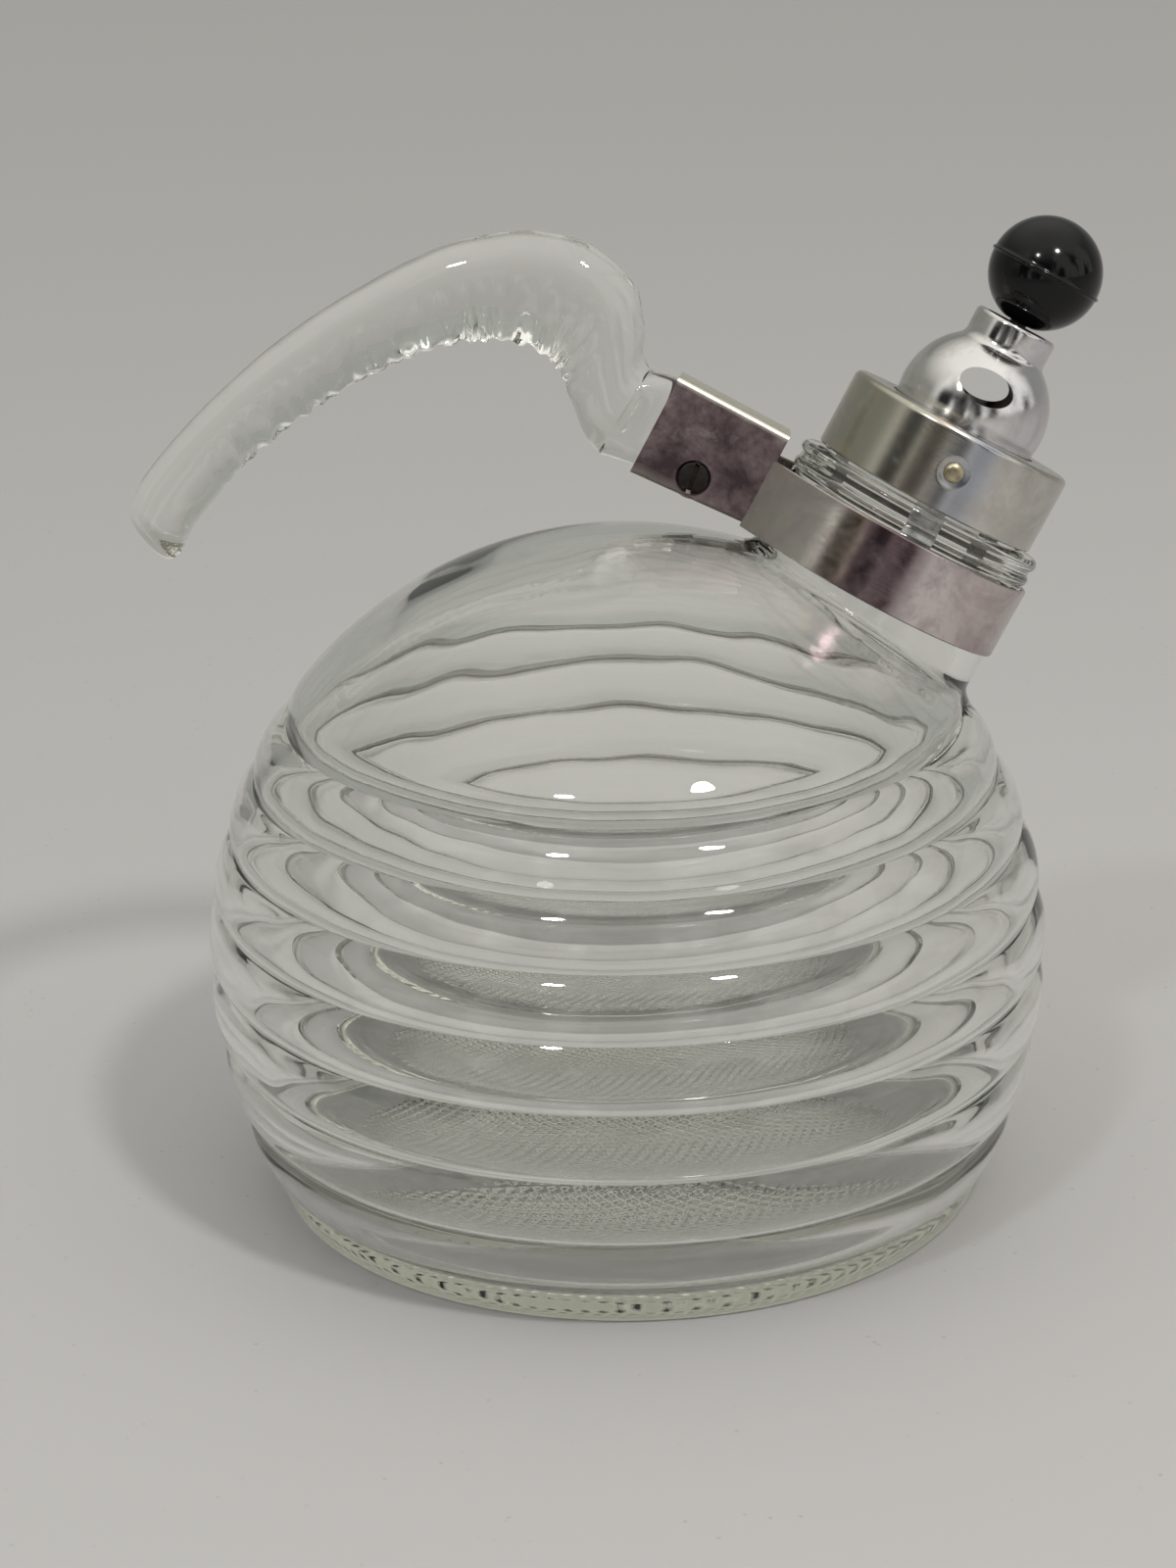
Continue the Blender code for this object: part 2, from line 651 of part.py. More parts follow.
def make_skirt(aluminium, cap):
    outer = arc((SKIRT_RADIUS - SKIRT_BEND, SKIRT_TOP - SKIRT_BEND), SKIRT_BEND, 0, 90, 3)
    inner_bend = SKIRT_BEND - SKIRT_SHEET
    inner = arc((SKIRT_INSIDE - inner_bend, SKIRT_TOP - SKIRT_SHEET - inner_bend), inner_bend, 90, 0, 2)
    profile = [
        (SKIRT_INSIDE, GAP),
        (SKIRT_RADIUS - 0.0003, GAP),
        (SKIRT_RADIUS, GAP + 0.0004),
        *outer,
        (DOME_HOLE, SKIRT_TOP),
        (DOME_HOLE, SKIRT_TOP - SKIRT_SHEET),
        *inner,
    ]
    skirt = turned("cap_skirt", profile, CAP_STEPS, aluminium, cap, None, True)
    for index in range(RIVETS):
        place = outward(round_the_cap(index, RIVETS, RIVET_TURN), RIVET_HEIGHT)
        name = f"rivet_hole_cutter_{index + 1}"
        reach = (SKIRT_INSIDE - 0.002, SKIRT_RADIUS + 0.002)
        boolean(skirt, cylinder(name, RIVET_RADIUS + HOLE_GAP, *reach, 10, cap, place))
    return skirt


def flat_reach(radius):
    """How far out a flat leaf's middle can lie inside a round wall, clear of it at its edges."""
    return math.sqrt(radius**2 - (LEAF_WIDTH / 2) ** 2) - GAP - LEAF_SHEET / 2


LEAF_OUT = flat_reach(SKIRT_INSIDE)


def make_leaves(spring_steel, cap):
    """Three leaves, each riveted inside the skirt, that hang into the neck and bow out against its bore."""
    bow = flat_reach(BORE_RADIUS)
    path = [
        Vector((RIVET_HEIGHT + LEAF_ABOVE_RIVET, LEAF_OUT)),
        Vector((0.0034, LEAF_OUT)),
        Vector((0.0012, bow - 0.0004)),
        Vector((-0.0020, bow - 0.0007)),
        Vector((-LEAF_REACH * 0.40, bow - 0.0001)),
        Vector((-LEAF_REACH * 0.62, bow)),
        Vector((-LEAF_REACH * 0.80, bow - 0.0006)),
        Vector((-LEAF_REACH, bow - 0.0021)),
    ]
    for index in range(RIVETS):
        turn = round_the_cap(index, RIVETS, RIVET_TURN)
        pivot = Matrix.Translation((LEAF_OUT, 0.0, RIVET_HEIGHT))
        hinge = make_empty(f"leaf_hinge_{index + 1}", Matrix())
        hinge.parent = cap
        hinge.matrix_local = turn @ pivot
        local = [Vector((out - LEAF_OUT, height - RIVET_HEIGHT)) for height, out in path]
        outline = strip_outline(local, LEAF_SHEET)
        upright = Matrix.Rotation(math.radians(90), 4, "X")
        half = LEAF_WIDTH / 2
        leaf = extruded(f"cap_leaf_{index + 1}", outline, -half, half, spring_steel, hinge, upright)
        bore = (RIVET_RADIUS + HOLE_GAP, -0.002, 0.002, 10)
        sideways = Matrix.Rotation(math.radians(90), 4, "Y")
        boolean(leaf, cylinder(f"leaf_hole_cutter_{index + 1}", *bore, hinge, sideways))


def make_rivets(brass, cap):
    head_near = SKIRT_RADIUS + GAP
    tail_near = LEAF_OUT - LEAF_SHEET / 2 - GAP
    profile = [
        (0.0, head_near + RIVET_HEAD_HEIGHT),
        (RIVET_HEAD_RADIUS * 0.6, head_near + RIVET_HEAD_HEIGHT * 0.85),
        (RIVET_HEAD_RADIUS, head_near + RIVET_HEAD_HEIGHT * 0.35),
        (RIVET_HEAD_RADIUS, head_near),
        (RIVET_RADIUS, head_near),
        (RIVET_RADIUS, tail_near),
        (RIVET_HEAD_RADIUS * 0.85, tail_near),
        (RIVET_HEAD_RADIUS * 0.6, tail_near - RIVET_TAIL_HEIGHT),
        (0.0, tail_near - RIVET_TAIL_HEIGHT),
    ]
    for index in range(RIVETS):
        place = outward(round_the_cap(index, RIVETS, RIVET_TURN), RIVET_HEIGHT)
        turned(f"cap_rivet_{index + 1}", profile, 10, brass, cap, place)


def dome_side(radius, steps, boss_radius, foot, top, bend):
    """One side of the dome from its straight rim, over the shoulder and up the boss to its flat top."""
    start = math.degrees(math.asin((SKIRT_TOP + 0.0012 - DOME_CENTRE) / radius))
    end = math.degrees(math.acos((boss_radius + 0.0004) / radius))
    points = arc((0.0, DOME_CENTRE), radius, start, end, steps)
    points += [(boss_radius - 0.0001, foot + 0.0006)]
    points += arc((boss_radius - bend, top - bend), bend, 0, 90, 3)
    return points


def make_dome(aluminium, cap):
    """One pressing: a rim that passes through the skirt and turns out below it, the dome and the boss."""
    rim_low = SKIRT_TOP - SKIRT_SHEET - GAP
    rim_out = DOME_RADIUS + DOME_HOOK
    outer = dome_side(DOME_RADIUS, 6, BOSS_RADIUS, BOSS_FOOT, BOSS_TOP, BOSS_ROUND)
    inside_radius = DOME_RADIUS - DOME_SHEET
    inner = dome_side(
        inside_radius,
        5,
        BOSS_RADIUS - DOME_SHEET,
        BOSS_FOOT,
        BOSS_TOP - DOME_SHEET,
        BOSS_ROUND - DOME_SHEET,
    )
    bore = KNOB_SCREW_RADIUS + HOLE_GAP
    rim_radius = outer[0][0]
    profile = [
        (rim_radius - DOME_SHEET, rim_low - DOME_SHEET),
        (rim_out, rim_low - DOME_SHEET),
        (rim_out, rim_low),
        (rim_radius, rim_low),
        *outer,
        (bore, BOSS_TOP),
        (bore, BOSS_TOP - DOME_SHEET),
        *reversed(inner),
    ]
    dome = turned("whistle_dome", profile, CAP_STEPS, aluminium, cap, None, True)
    width, height = WHISTLE_HOLE_WIDTH / 2, WHISTLE_HOLE_HEIGHT / 2
    steps = 18
    oval = []
    for index in range(steps):
        angle = math.tau * index / steps
        oval.append(Vector((height * math.cos(angle), width * math.sin(angle))))
    place = outward(Matrix.Rotation(WHISTLE_TURN, 4, "Z"), SKIRT_TOP + WHISTLE_HOLE_RISE)
    reach = DOME_RADIUS * 1.2
    boolean(dome, extruded("whistle_hole_cutter", oval, -reach, reach, None, cap, place))
    return dome


def make_whistle(aluminium, cap):
    """Two pierced discs inside the dome's rim: steam sounds as it crosses the gap between their holes."""
    radius = math.sqrt(DOME_RADIUS**2 - DOME_CENTRE_RISE**2) - DOME_SHEET - GAP
    low = SKIRT_TOP - SKIRT_SHEET
    for name, bottom in (
        ("whistle_disc_lower", low),
        ("whistle_disc_upper", low + WHISTLE_PLATE_SPACING),
    ):
        top = bottom + WHISTLE_PLATE_SHEET
        profile = [(JET_RADIUS, bottom), (radius, bottom), (radius, top), (JET_RADIUS, top)]
        turned(name, profile, 28, aluminium, cap, None, True)


def make_knob(plastic, nickel, cap):
    """The ball, with the thin ridge of its two mould halves, and the screw and washer that hold it."""
    seat = BOSS_TOP + GAP
    centre = seat + math.sqrt(KNOB_RADIUS**2 - KNOB_FLAT_RADIUS**2)
    start = math.degrees(math.asin((seat - centre) / KNOB_RADIUS))
    ridge = math.degrees(KNOB_RIDGE_HEIGHT / KNOB_RADIUS)
    bore = KNOB_SCREW_RADIUS + HOLE_GAP
    bore_top = seat + KNOB_SCREW_DEPTH + 0.0006
    profile = [
        (0.0, bore_top),
        (bore, bore_top),
        (bore, seat),
        *arc((0.0, centre), KNOB_RADIUS, start, -ridge, 6),
        (KNOB_RADIUS + KNOB_RIDGE, centre - KNOB_RIDGE_HEIGHT / 2),
        (KNOB_RADIUS + KNOB_RIDGE, centre + KNOB_RIDGE_HEIGHT / 2),
        *arc((0.0, centre), KNOB_RADIUS, ridge, 90, 7)[:-1],
        (0.0, centre + KNOB_RADIUS),
    ]
    turned("ball_knob", profile, 32, plastic, cap)
    washer_top = BOSS_TOP - DOME_SHEET - GAP
    washer_low = washer_top - WASHER_SHEET
    washer = [(bore, washer_low), (WASHER_RADIUS, washer_low), (WASHER_RADIUS, washer_top), (bore, washer_top)]
    turned("knob_washer", washer, SMALL_STEPS, nickel, cap, None, True)
    head_top = washer_low - GAP
    screw = [
        (0.0, seat + KNOB_SCREW_DEPTH),
        (KNOB_SCREW_RADIUS, seat + KNOB_SCREW_DEPTH),
        (KNOB_SCREW_RADIUS, head_top),
        (KNOB_SCREW_HEAD_RADIUS, head_top),
        (KNOB_SCREW_HEAD_RADIUS, head_top - KNOB_SCREW_HEAD_HEIGHT * 0.6),
        (KNOB_SCREW_HEAD_RADIUS * 0.7, head_top - KNOB_SCREW_HEAD_HEIGHT),
        (0.0, head_top - KNOB_SCREW_HEAD_HEIGHT),
    ]
    turned("knob_screw", screw, SMALL_STEPS, nickel, cap)


def build():
    clear_scene()
    glass = make_material("clear_glass", (0.93, 0.95, 0.90), 0.03, 0.0, 1.0)
    steel = make_material("nickel_plated_steel", (0.46, 0.42, 0.41), 0.28, 1.0)
    nickel = make_material("nickel_screws", (0.55, 0.53, 0.50), 0.30, 1.0)
    fibre = make_material("fibre", (0.30, 0.24, 0.18), 0.85)
    aluminium = make_material("spun_aluminium", (0.66, 0.65, 0.61), 0.27, 1.0)
    spring_steel = make_material("spring_steel", (0.50, 0.50, 0.50), 0.32, 1.0)
    brass = make_material("brass", (0.62, 0.50, 0.30), 0.35, 1.0)
    plastic = make_material("black_knob", (0.010, 0.010, 0.010), 0.10)

    start = Matrix.Translation((0.0, 0.0, NECK_START_HEIGHT))
    neck = make_empty("neck_axis", start @ Matrix.Rotation(NECK_TILT, 4, "Y"))
    band_axis = make_empty("band_axis", Matrix())
    band_axis.parent = neck
    band_axis.matrix_local = Matrix.Rotation(-BAND_TURN, 4, "Z")
    cap = make_empty("cap_axis", Matrix())
    cap.parent = neck
    cap.matrix_local = Matrix.Translation((0.0, 0.0, LIP_TOP))

    make_body(glass, neck)
    make_band(steel, band_axis)
    make_handle(glass, band_axis)
    make_pads(fibre, band_axis)
    make_clamp(nickel, band_axis)
    make_skirt(aluminium, cap)
    make_leaves(spring_steel, cap)
    make_rivets(brass, cap)
    make_dome(aluminium, cap)
    make_whistle(aluminium, cap)
    make_knob(plastic, nickel, cap)


build()
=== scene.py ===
import math

import bmesh
import bpy
from mathutils import Matrix, Vector, noise


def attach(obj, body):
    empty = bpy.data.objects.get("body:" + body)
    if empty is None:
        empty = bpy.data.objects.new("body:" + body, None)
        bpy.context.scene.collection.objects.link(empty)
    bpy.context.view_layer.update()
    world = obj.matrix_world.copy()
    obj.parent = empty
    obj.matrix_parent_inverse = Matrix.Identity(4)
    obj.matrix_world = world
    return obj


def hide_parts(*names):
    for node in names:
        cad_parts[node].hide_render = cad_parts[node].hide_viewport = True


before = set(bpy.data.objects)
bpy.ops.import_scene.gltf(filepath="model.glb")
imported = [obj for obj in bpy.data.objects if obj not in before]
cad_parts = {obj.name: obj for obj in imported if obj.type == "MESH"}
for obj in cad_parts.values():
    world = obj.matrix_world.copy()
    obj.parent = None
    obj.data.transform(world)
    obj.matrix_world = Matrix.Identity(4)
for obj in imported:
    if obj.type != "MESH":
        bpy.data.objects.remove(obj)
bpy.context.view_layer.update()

tau = math.tau


# Shader sockets that can be written as sums and products

class Wire:
    def __init__(self, paint, socket):
        self.paint, self.socket = paint, socket

    def calculate(self, operation, first, second=None):
        values = {0: first} if second is None else {0: first, 1: second}
        return self.paint.node("ShaderNodeMath", {"operation": operation}, values)

    def __add__(self, other):
        return self.calculate("ADD", self, other)

    def __sub__(self, other):
        return self.calculate("SUBTRACT", self, other)

    def __rsub__(self, other):
        return self.calculate("SUBTRACT", other, self)

    def __mul__(self, other):
        return self.calculate("MULTIPLY", self, other)

    def __pow__(self, other):
        return self.calculate("POWER", self, other)

    __radd__, __rmul__ = __add__, __mul__

    def wave(self):
        return self.calculate("SINE", self)


class Paint:
    # the nodes of a material or of the world
    def __init__(self, owner, shader="Principled BSDF", space="Object"):
        owner.use_nodes = True
        self.owner = owner
        self.tree = owner.node_tree
        self.shader = self.tree.nodes[shader]
        self.where = self.node("ShaderNodeTexCoord", {}, {}, space)

    def node(self, kind, settings, values, output=0):
        made = self.tree.nodes.new(kind)
        for key, value in settings.items():
            if key == "stops":
                elements = made.color_ramp.elements
                while len(elements) < len(value):
                    elements.new(1.0)
                for element, (position, colour) in zip(elements, value):
                    element.position, element.color = position, (*colour, 1.0)
            else:
                setattr(made, key, value)
        for key, value in values.items():
            self.plug(made.inputs[key], value)
        return Wire(self, made.outputs[output])

    def plug(self, socket, value):
        if isinstance(value, Wire):
            self.tree.links.new(value.socket, socket)
        elif hasattr(value, "__len__") and len(value) == 3 and socket.type == "RGBA":
            socket.default_value = (*value, 1.0)
        else:
            socket.default_value = value

    def set(self, **values):
        for key, value in values.items():
            self.plug(self.shader.inputs[key.replace("_", " ")], value)

    def stretched(self, scale):
        return self.node("ShaderNodeMapping", {}, {"Vector": self.where, "Scale": scale})

    def clouds(self, scale, detail=3.0, roughness=0.5, distortion=0.0, at=None):
        values = {
            "Vector": at or self.where,
            "Scale": scale,
            "Detail": detail,
            "Roughness": roughness,
            "Distortion": distortion,
        }
        return self.node("ShaderNodeTexNoise", {}, values, "Fac")

    def cells(self, scale):
        return self.node("ShaderNodeTexVoronoi", {}, {"Vector": self.where, "Scale": scale}, "Distance")

    def stepped(self, value, *stops):
        return self.node("ShaderNodeValToRGB", {"stops": stops}, {"Fac": value}, "Color")

    def mask(self, value, low, high):
        values = {"Value": value, "From Min": low, "From Max": high}
        return self.node("ShaderNodeMapRange", {}, values, "Result")

    def blend(self, share, first, second):
        # the colour sockets share their names with the number sockets, so they go by place
        values = {"Factor": share, 6: first, 7: second}
        return self.node("ShaderNodeMix", {"data_type": "RGBA"}, values, 2)

    def part(self, axis):
        return self.node("ShaderNodeSeparateXYZ", {}, {"Vector": self.where}, axis)

    def turn(self):
        # share of a full turn about the piece's own axis, 0.5 where it faces along +X
        across, along = self.part("Y"), self.part("X")
        return across.calculate("ARCTAN2", across, along) * (1 / tau) + 0.5

    def bump(self, height, distance, strength):
        values = {"Height": height, "Distance": distance, "Strength": strength}
        return self.node("ShaderNodeBump", {}, values, "Normal")


# Sizes that the pieces share, in metres. The ball's grooves and crown are given by latitude, in degrees

ball = {
    "radius": 0.0825,
    "centre": 0.048,
    "lowerHalf": 0.090,
    "wall": 0.0032,
    "topGroove": 36.0,
    "rib": 9.2,
    "grooves": 7,
    "grooveDepth": 0.0018,
    "footHeight": 0.0052,
    "footInset": 0.0022,
    "floor": 0.0055,
    "columns": 256,
    "ribPoints": 10,
    "crownStep": 1.5,
    "crownEnd": 4.5,
    "shoulder": 4.2,
    "floorRadius": 0.0600,
    "floorCorner": 0.0700,
}
neck = {
    "start": 0.0265,
    "tilt": math.radians(29.6),
    "radius": 0.0252,
    "bore": 0.0205,
    "lip": 0.0256,
    "lipHeight": 0.0064,
    "bead": 0.0012,
    "fillet": 0.0026,
    "filletRise": 0.0015,
    "filletRings": 9,
    "outerHole": 0.0034,
    "flare": 0.0052,
    "flareRise": 0.0042,
    "flareRings": 12,
    "innerHole": 0.0066,
    "columns": 192,
}
band = {
    "turn": math.radians(-20.0),
    "standoff": 0.0014,
    "height": 0.0142,
    "sheet": 0.0008,
    "crease": 0.0287,
    "length": 0.0240,
    "rise": 0.0008,
    "inner": 0.0190,
    "drop": 0.0016,
    "cheek": 0.0093,
    "lip": 0.0028,
    "bend": 0.0014,
    "screw": 0.0127,
    "screwRise": 0.0040,
}
gap = 0.0003

drop = ball["centre"] - neck["start"]
centreUp = drop * math.cos(neck["tilt"])
centreSide = -drop * math.sin(neck["tilt"])
footLatitude = math.degrees(math.asin((ball["footHeight"] - ball["centre"]) / ball["lowerHalf"]))
neckExit = centreUp + math.sqrt(ball["radius"] ** 2 - centreSide**2)
bandLow = neckExit + band["standoff"]
bandTop = bandLow + band["height"]
lipLow = bandTop + gap
lipTop = lipLow + neck["lipHeight"]
bracketLow = bandLow + band["rise"]
bracketTop = bracketLow + band["inner"]
mouthOut = band["crease"] + band["length"]
screwOut = band["crease"] + band["screw"]


def bracketLowAt(out):
    return bracketLow - band["drop"] * (out - band["crease"]) / band["length"]


screwUp = bracketLowAt(screwOut) + band["screwRise"]

neckFrame = Matrix.Translation((0, 0, neck["start"])) @ Matrix.Rotation(neck["tilt"], 4, "Y")
bandFrame = neckFrame @ Matrix.Rotation(band["turn"], 4, "Z")
capFrame = neckFrame @ Matrix.Translation((0, 0, lipTop))


# Mesh helpers

def addObject(name, data):
    made = bpy.data.objects.new(name, data)
    bpy.context.scene.collection.objects.link(made)
    return made


def addMesh(name, shape):
    mesh = bpy.data.meshes.new(name)
    shape.to_mesh(mesh)
    shape.free()
    return addObject(name, mesh)


def smooth(mesh, sharp):
    mesh.shade_smooth()
    mesh.set_sharp_from_angle(angle=math.radians(sharp))


def makePiece(name, shape, body, place, paint, nodes, sharp):
    bmesh.ops.recalc_face_normals(shape, faces=shape.faces)
    piece = addMesh(name, shape)
    smooth(piece.data, sharp)
    piece.matrix_world = place
    piece.data.materials.append(paint.owner)
    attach(piece, body)
    if nodes:
        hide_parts(*nodes)
    return piece


def useTool(target, name, tool, place, operation):
    # applies the Boolean at once, so no helper stays behind
    bmesh.ops.recalc_face_normals(tool, faces=tool.faces)
    cutter = addMesh(name, tool)
    cutter.matrix_world = place
    modifier = target.modifiers.new(name, "BOOLEAN")
    modifier.operation = operation
    modifier.object = cutter
    bpy.context.view_layer.update()
    graph = bpy.context.evaluated_depsgraph_get()
    mesh = bpy.data.meshes.new_from_object(target.evaluated_get(graph))
    target.modifiers.clear()
    target.data = mesh
    smooth(mesh, 40)
    bpy.data.objects.remove(cutter)


def addRing(shape, radius, height, columns, wobble=None):
    ring = []
    for column in range(columns):
        angle = tau * column / columns
        r, z = (radius, height) if wobble is None else wobble(angle, radius, height)
        ring.append(shape.verts.new((r * math.cos(angle), r * math.sin(angle), z)))
    return ring


def joinRings(shape, first, second):
    count = len(first)
    for index in range(count):
        after = (index + 1) % count
        shape.faces.new((first[index], first[after], second[after], second[index]))


def spin(shape, profile, columns, closed=False, wobble=None):
    rings = []
    for radius, height in profile:
        if radius < 1e-7:
            rings.append([shape.verts.new((0, 0, height))])
        else:
            rings.append(addRing(shape, radius, height, columns, wobble))
    pairs = list(zip(rings, rings[1:]))
    if closed:
        pairs.append((rings[-1], rings[0]))
    for first, second in pairs:
        if len(first) == 1 or len(second) == 1:
            tip, ring = (first[0], second) if len(first) == 1 else (second[0], first)
            for index in range(columns):
                shape.faces.new((tip, ring[index], ring[(index + 1) % columns]))
        else:
            joinRings(shape, first, second)


def curve(points, steps):
    # a Catmull-Rom line through the points
    found = []
    last = len(points) - 1
    for index in range(last):
        before, start = points[max(index - 1, 0)], points[index]
        end, after = points[index + 1], points[min(index + 2, last)]
        for step in range(steps):
            t = step / steps
            found.append(
                (
                    start * 2
                    + (end - before) * t
                    + (before * 2 - start * 5 + end * 4 - after) * t**2
                    + (start * 3 - before - end * 3 + after) * t**3
                )
                * 0.5
            )
    found.append(points[-1])
    return found


def arcOf(x, z, radius, start, end, steps):
    found = []
    for step in range(steps + 1):
        angle = math.radians(start + (end - start) * step / steps)
        found.append((x + radius * math.cos(angle), z + radius * math.sin(angle)))
    return found


def bezierPoint(first, middle, last, t):
    return first * (1 - t) ** 2 + middle * 2 * t * (1 - t) + last * t**2


def bezier(first, middle, last, steps):
    return [bezierPoint(first, middle, last, step / steps) for step in range(steps + 1)]


def towards(azimuth, elevation):
    # the way to a lamp or to the camera, in degrees right of the front and above the floor
    a, e = math.radians(azimuth), math.radians(elevation)
    return Vector((math.sin(a) * math.cos(e), -math.cos(a) * math.cos(e), math.sin(e)))


# Finishes

def makeGlass(name):
    paint = Paint(bpy.data.materials.new(name))
    paint.set(
        Base_Color=(0.985, 0.99, 0.978),
        Roughness=0.012,
        IOR=1.5,
        Transmission_Weight=1.0,
        Specular_IOR_Level=0.5,
    )
    tint = {"Color": (0.88, 0.87, 0.66), "Density": 5.0}
    absorb = paint.node("ShaderNodeVolumeAbsorption", {}, tint, "Volume")
    paint.plug(paint.tree.nodes["Material Output"].inputs["Volume"], absorb)
    return paint


def makeBodyGlass():
    paint = makeGlass("blownGlass")
    height = paint.part("Z")
    x, y = paint.part("X"), paint.part("Y")
    out = (x * x + y * y) ** 0.5
    # a pressed honeycomb over the floor, from three waves that cross at 60 degrees
    onBase = (1 - paint.mask(height, 0.0068, 0.0080)) * (1 - paint.mask(out, 0.052, 0.056))
    comb = 0
    waveTurn = 2600  # radians per metre
    for degrees in (0, 60, 120):
        angle = math.radians(degrees)
        across = x * (math.cos(angle) * waveTurn) + y * (math.sin(angle) * waveTurn)
        comb = across.wave() + comb
    ripple = paint.clouds(34.0, 1.0, 0.45)
    paint.set(Normal=paint.bump(comb * onBase * 0.16 + ripple * 0.25, 0.0012, 0.9))
    paint.set(Roughness=paint.mask(ripple, 0.35, 0.9) * 0.03 + 0.004)
    return paint


def makeHandleGlass():
    paint = makeGlass("pressedGlass")
    ripple = paint.clouds(60.0, 2.0, 0.5)
    paint.set(Normal=paint.bump(ripple, 0.0006, 0.3), Roughness=ripple * 0.025 + 0.004)
    return paint


def makePlate():
    # nickel plate: a reflection of the room painted round the band in uneven upright strips, darkest
    # where it faces the camera, with patches of tarnish over it
    paint = Paint(bpy.data.materials.new("tarnishedNickelPaintedReflection"))
    broad = paint.clouds(60.0, 5.0, 0.62, 0.8)
    fine = paint.clouds(420.0, 4.0, 0.6)
    # painted reflection: the colour steps with the turn round the band, a little wavy, and lies on the
    # plate in upright strips
    strip = paint.turn() + (broad - 0.5) * 0.035
    reflectionStrips = paint.stepped(
        strip,
        (0.02, (0.34, 0.32, 0.26)),
        (0.08, (0.46, 0.43, 0.38)),
        (0.155, (0.62, 0.59, 0.54)),
        (0.185, (0.60, 0.50, 0.38)),
        (0.205, (0.22, 0.15, 0.17)),
        (0.255, (0.25, 0.17, 0.19)),
        (0.28, (0.66, 0.60, 0.60)),
        (0.36, (0.58, 0.51, 0.50)),
        (0.50, (0.44, 0.39, 0.38)),
        (0.75, (0.55, 0.49, 0.46)),
        (0.98, (0.34, 0.32, 0.26)),
    )
    patch = paint.mask(broad + fine * 0.25, 0.56, 0.80)
    stained = paint.stepped(fine, (0.30, (0.17, 0.125, 0.135)), (0.70, (0.34, 0.27, 0.275)))
    colour = paint.blend(patch * 0.8, reflectionStrips, stained)
    freckle = paint.mask(paint.cells(700.0), 0.32, 0.10) * paint.mask(fine, 0.45, 0.75)
    colour = paint.blend(freckle * 0.35, colour, (0.66, 0.63, 0.62))
    scratches = paint.clouds(90.0, 6.0, 0.7, 0.0, paint.stretched((1.0, 1.0, 14.0)))
    paint.set(
        Base_Color=colour,
        Metallic=1.0 - patch * 0.15,
        Roughness=0.12 + patch * 0.15 + scratches * 0.08,
        Normal=paint.bump(scratches + fine * 0.6, 0.00005, 0.45),
    )
    return paint


def makeCheek():
    # the folded bracket has kept the heaviest tarnish, and has a cream highlight painted along its top
    # fold and a paler one along its lower edge
    paint = Paint(bpy.data.materials.new("tarnishedBracketPaintedHighlight"))
    broad = paint.clouds(85.0, 5.0, 0.6, 0.7)
    fine = paint.clouds(520.0, 4.0, 0.62)
    height = paint.part("Z") + (fine - 0.5) * 0.0006
    # painted highlight: cream along the top fold, where the metal also turns brighter and smoother
    wearAndPaintedHighlight = paint.mask(height, bracketTop - 0.0016, bracketTop - 0.0007)
    # painted highlight: paler along the bend of the lower edge
    paintedLowHighlight = (1 - paint.mask(height, bracketLow - 0.0012, bracketLow + 0.0012)) * 0.55
    stained = paint.stepped(
        broad + (fine - 0.5) * 0.35,
        (0.36, (0.085, 0.058, 0.064)),
        (0.50, (0.16, 0.115, 0.122)),
        (0.62, (0.25, 0.19, 0.195)),
        (0.72, (0.38, 0.32, 0.32)),
    )
    smear = paint.mask(paint.clouds(170.0, 4.0, 0.6, 1.2), 0.58, 0.72)
    colour = paint.blend(smear * 0.35, stained, (0.46, 0.41, 0.40))
    colour = paint.blend(paintedLowHighlight, colour, (0.50, 0.46, 0.41))
    colour = paint.blend(wearAndPaintedHighlight, colour, (0.82, 0.77, 0.66))
    scratches = paint.clouds(120.0, 6.0, 0.7, 0.0, paint.stretched((8.0, 1.0, 1.0)))
    paint.set(
        Base_Color=colour,
        Metallic=0.85 + wearAndPaintedHighlight * 0.15,
        Roughness=0.33 - wearAndPaintedHighlight * 0.12 + fine * 0.14,
        Normal=paint.bump(scratches + fine, 0.00006, 0.5),
    )
    return paint


def makeSpun(name, strips, rough):
    # turned on a lathe: fine rings round the axis, a few scuffs, and a reflection of the room painted
    # round the axis in uneven strips
    paint = Paint(bpy.data.materials.new(name))
    rings = paint.clouds(240.0, 6.0, 0.75, 0.0, paint.stretched((0.02, 0.02, 12.0)))
    stain = paint.clouds(46.0, 5.0, 0.62, 0.7)
    fine = paint.clouds(500.0, 4.0, 0.6)
    scuff = paint.mask(paint.clouds(75.0, 6.0, 0.7, 1.4), 0.56, 0.70)
    # painted reflection: the colour steps with the turn round the axis, a little wavy
    paintedReflection = paint.stepped(paint.turn() + (stain - 0.5) * 0.06, *strips)
    colour = paint.blend(paint.mask(stain + fine * 0.2, 0.55, 0.76) * 0.55, paintedReflection, (0.36, 0.34, 0.31))
    colour = paint.blend(scuff * 0.3, colour, (0.80, 0.79, 0.77))
    paint.set(
        Base_Color=colour,
        Metallic=1.0,
        Roughness=rough + rings * 0.09 + scuff * 0.10,
        Normal=paint.bump(rings + scuff * 0.3, 0.00004, 0.5),
    )
    return paint


def makeScrewMetal(name, base, rough):
    paint = Paint(bpy.data.materials.new(name))
    wearAndPaintedHighlight = paint.clouds(600.0, 5.0, 0.65)
    colour = paint.blend(paint.mask(wearAndPaintedHighlight, 0.40, 0.68), base, tuple(part * 0.45 for part in base))
    paint.set(
        Base_Color=colour,
        Metallic=1.0,
        Roughness=rough + wearAndPaintedHighlight * 0.18,
        Normal=paint.bump(wearAndPaintedHighlight, 0.00006, 0.5),
    )
    return paint


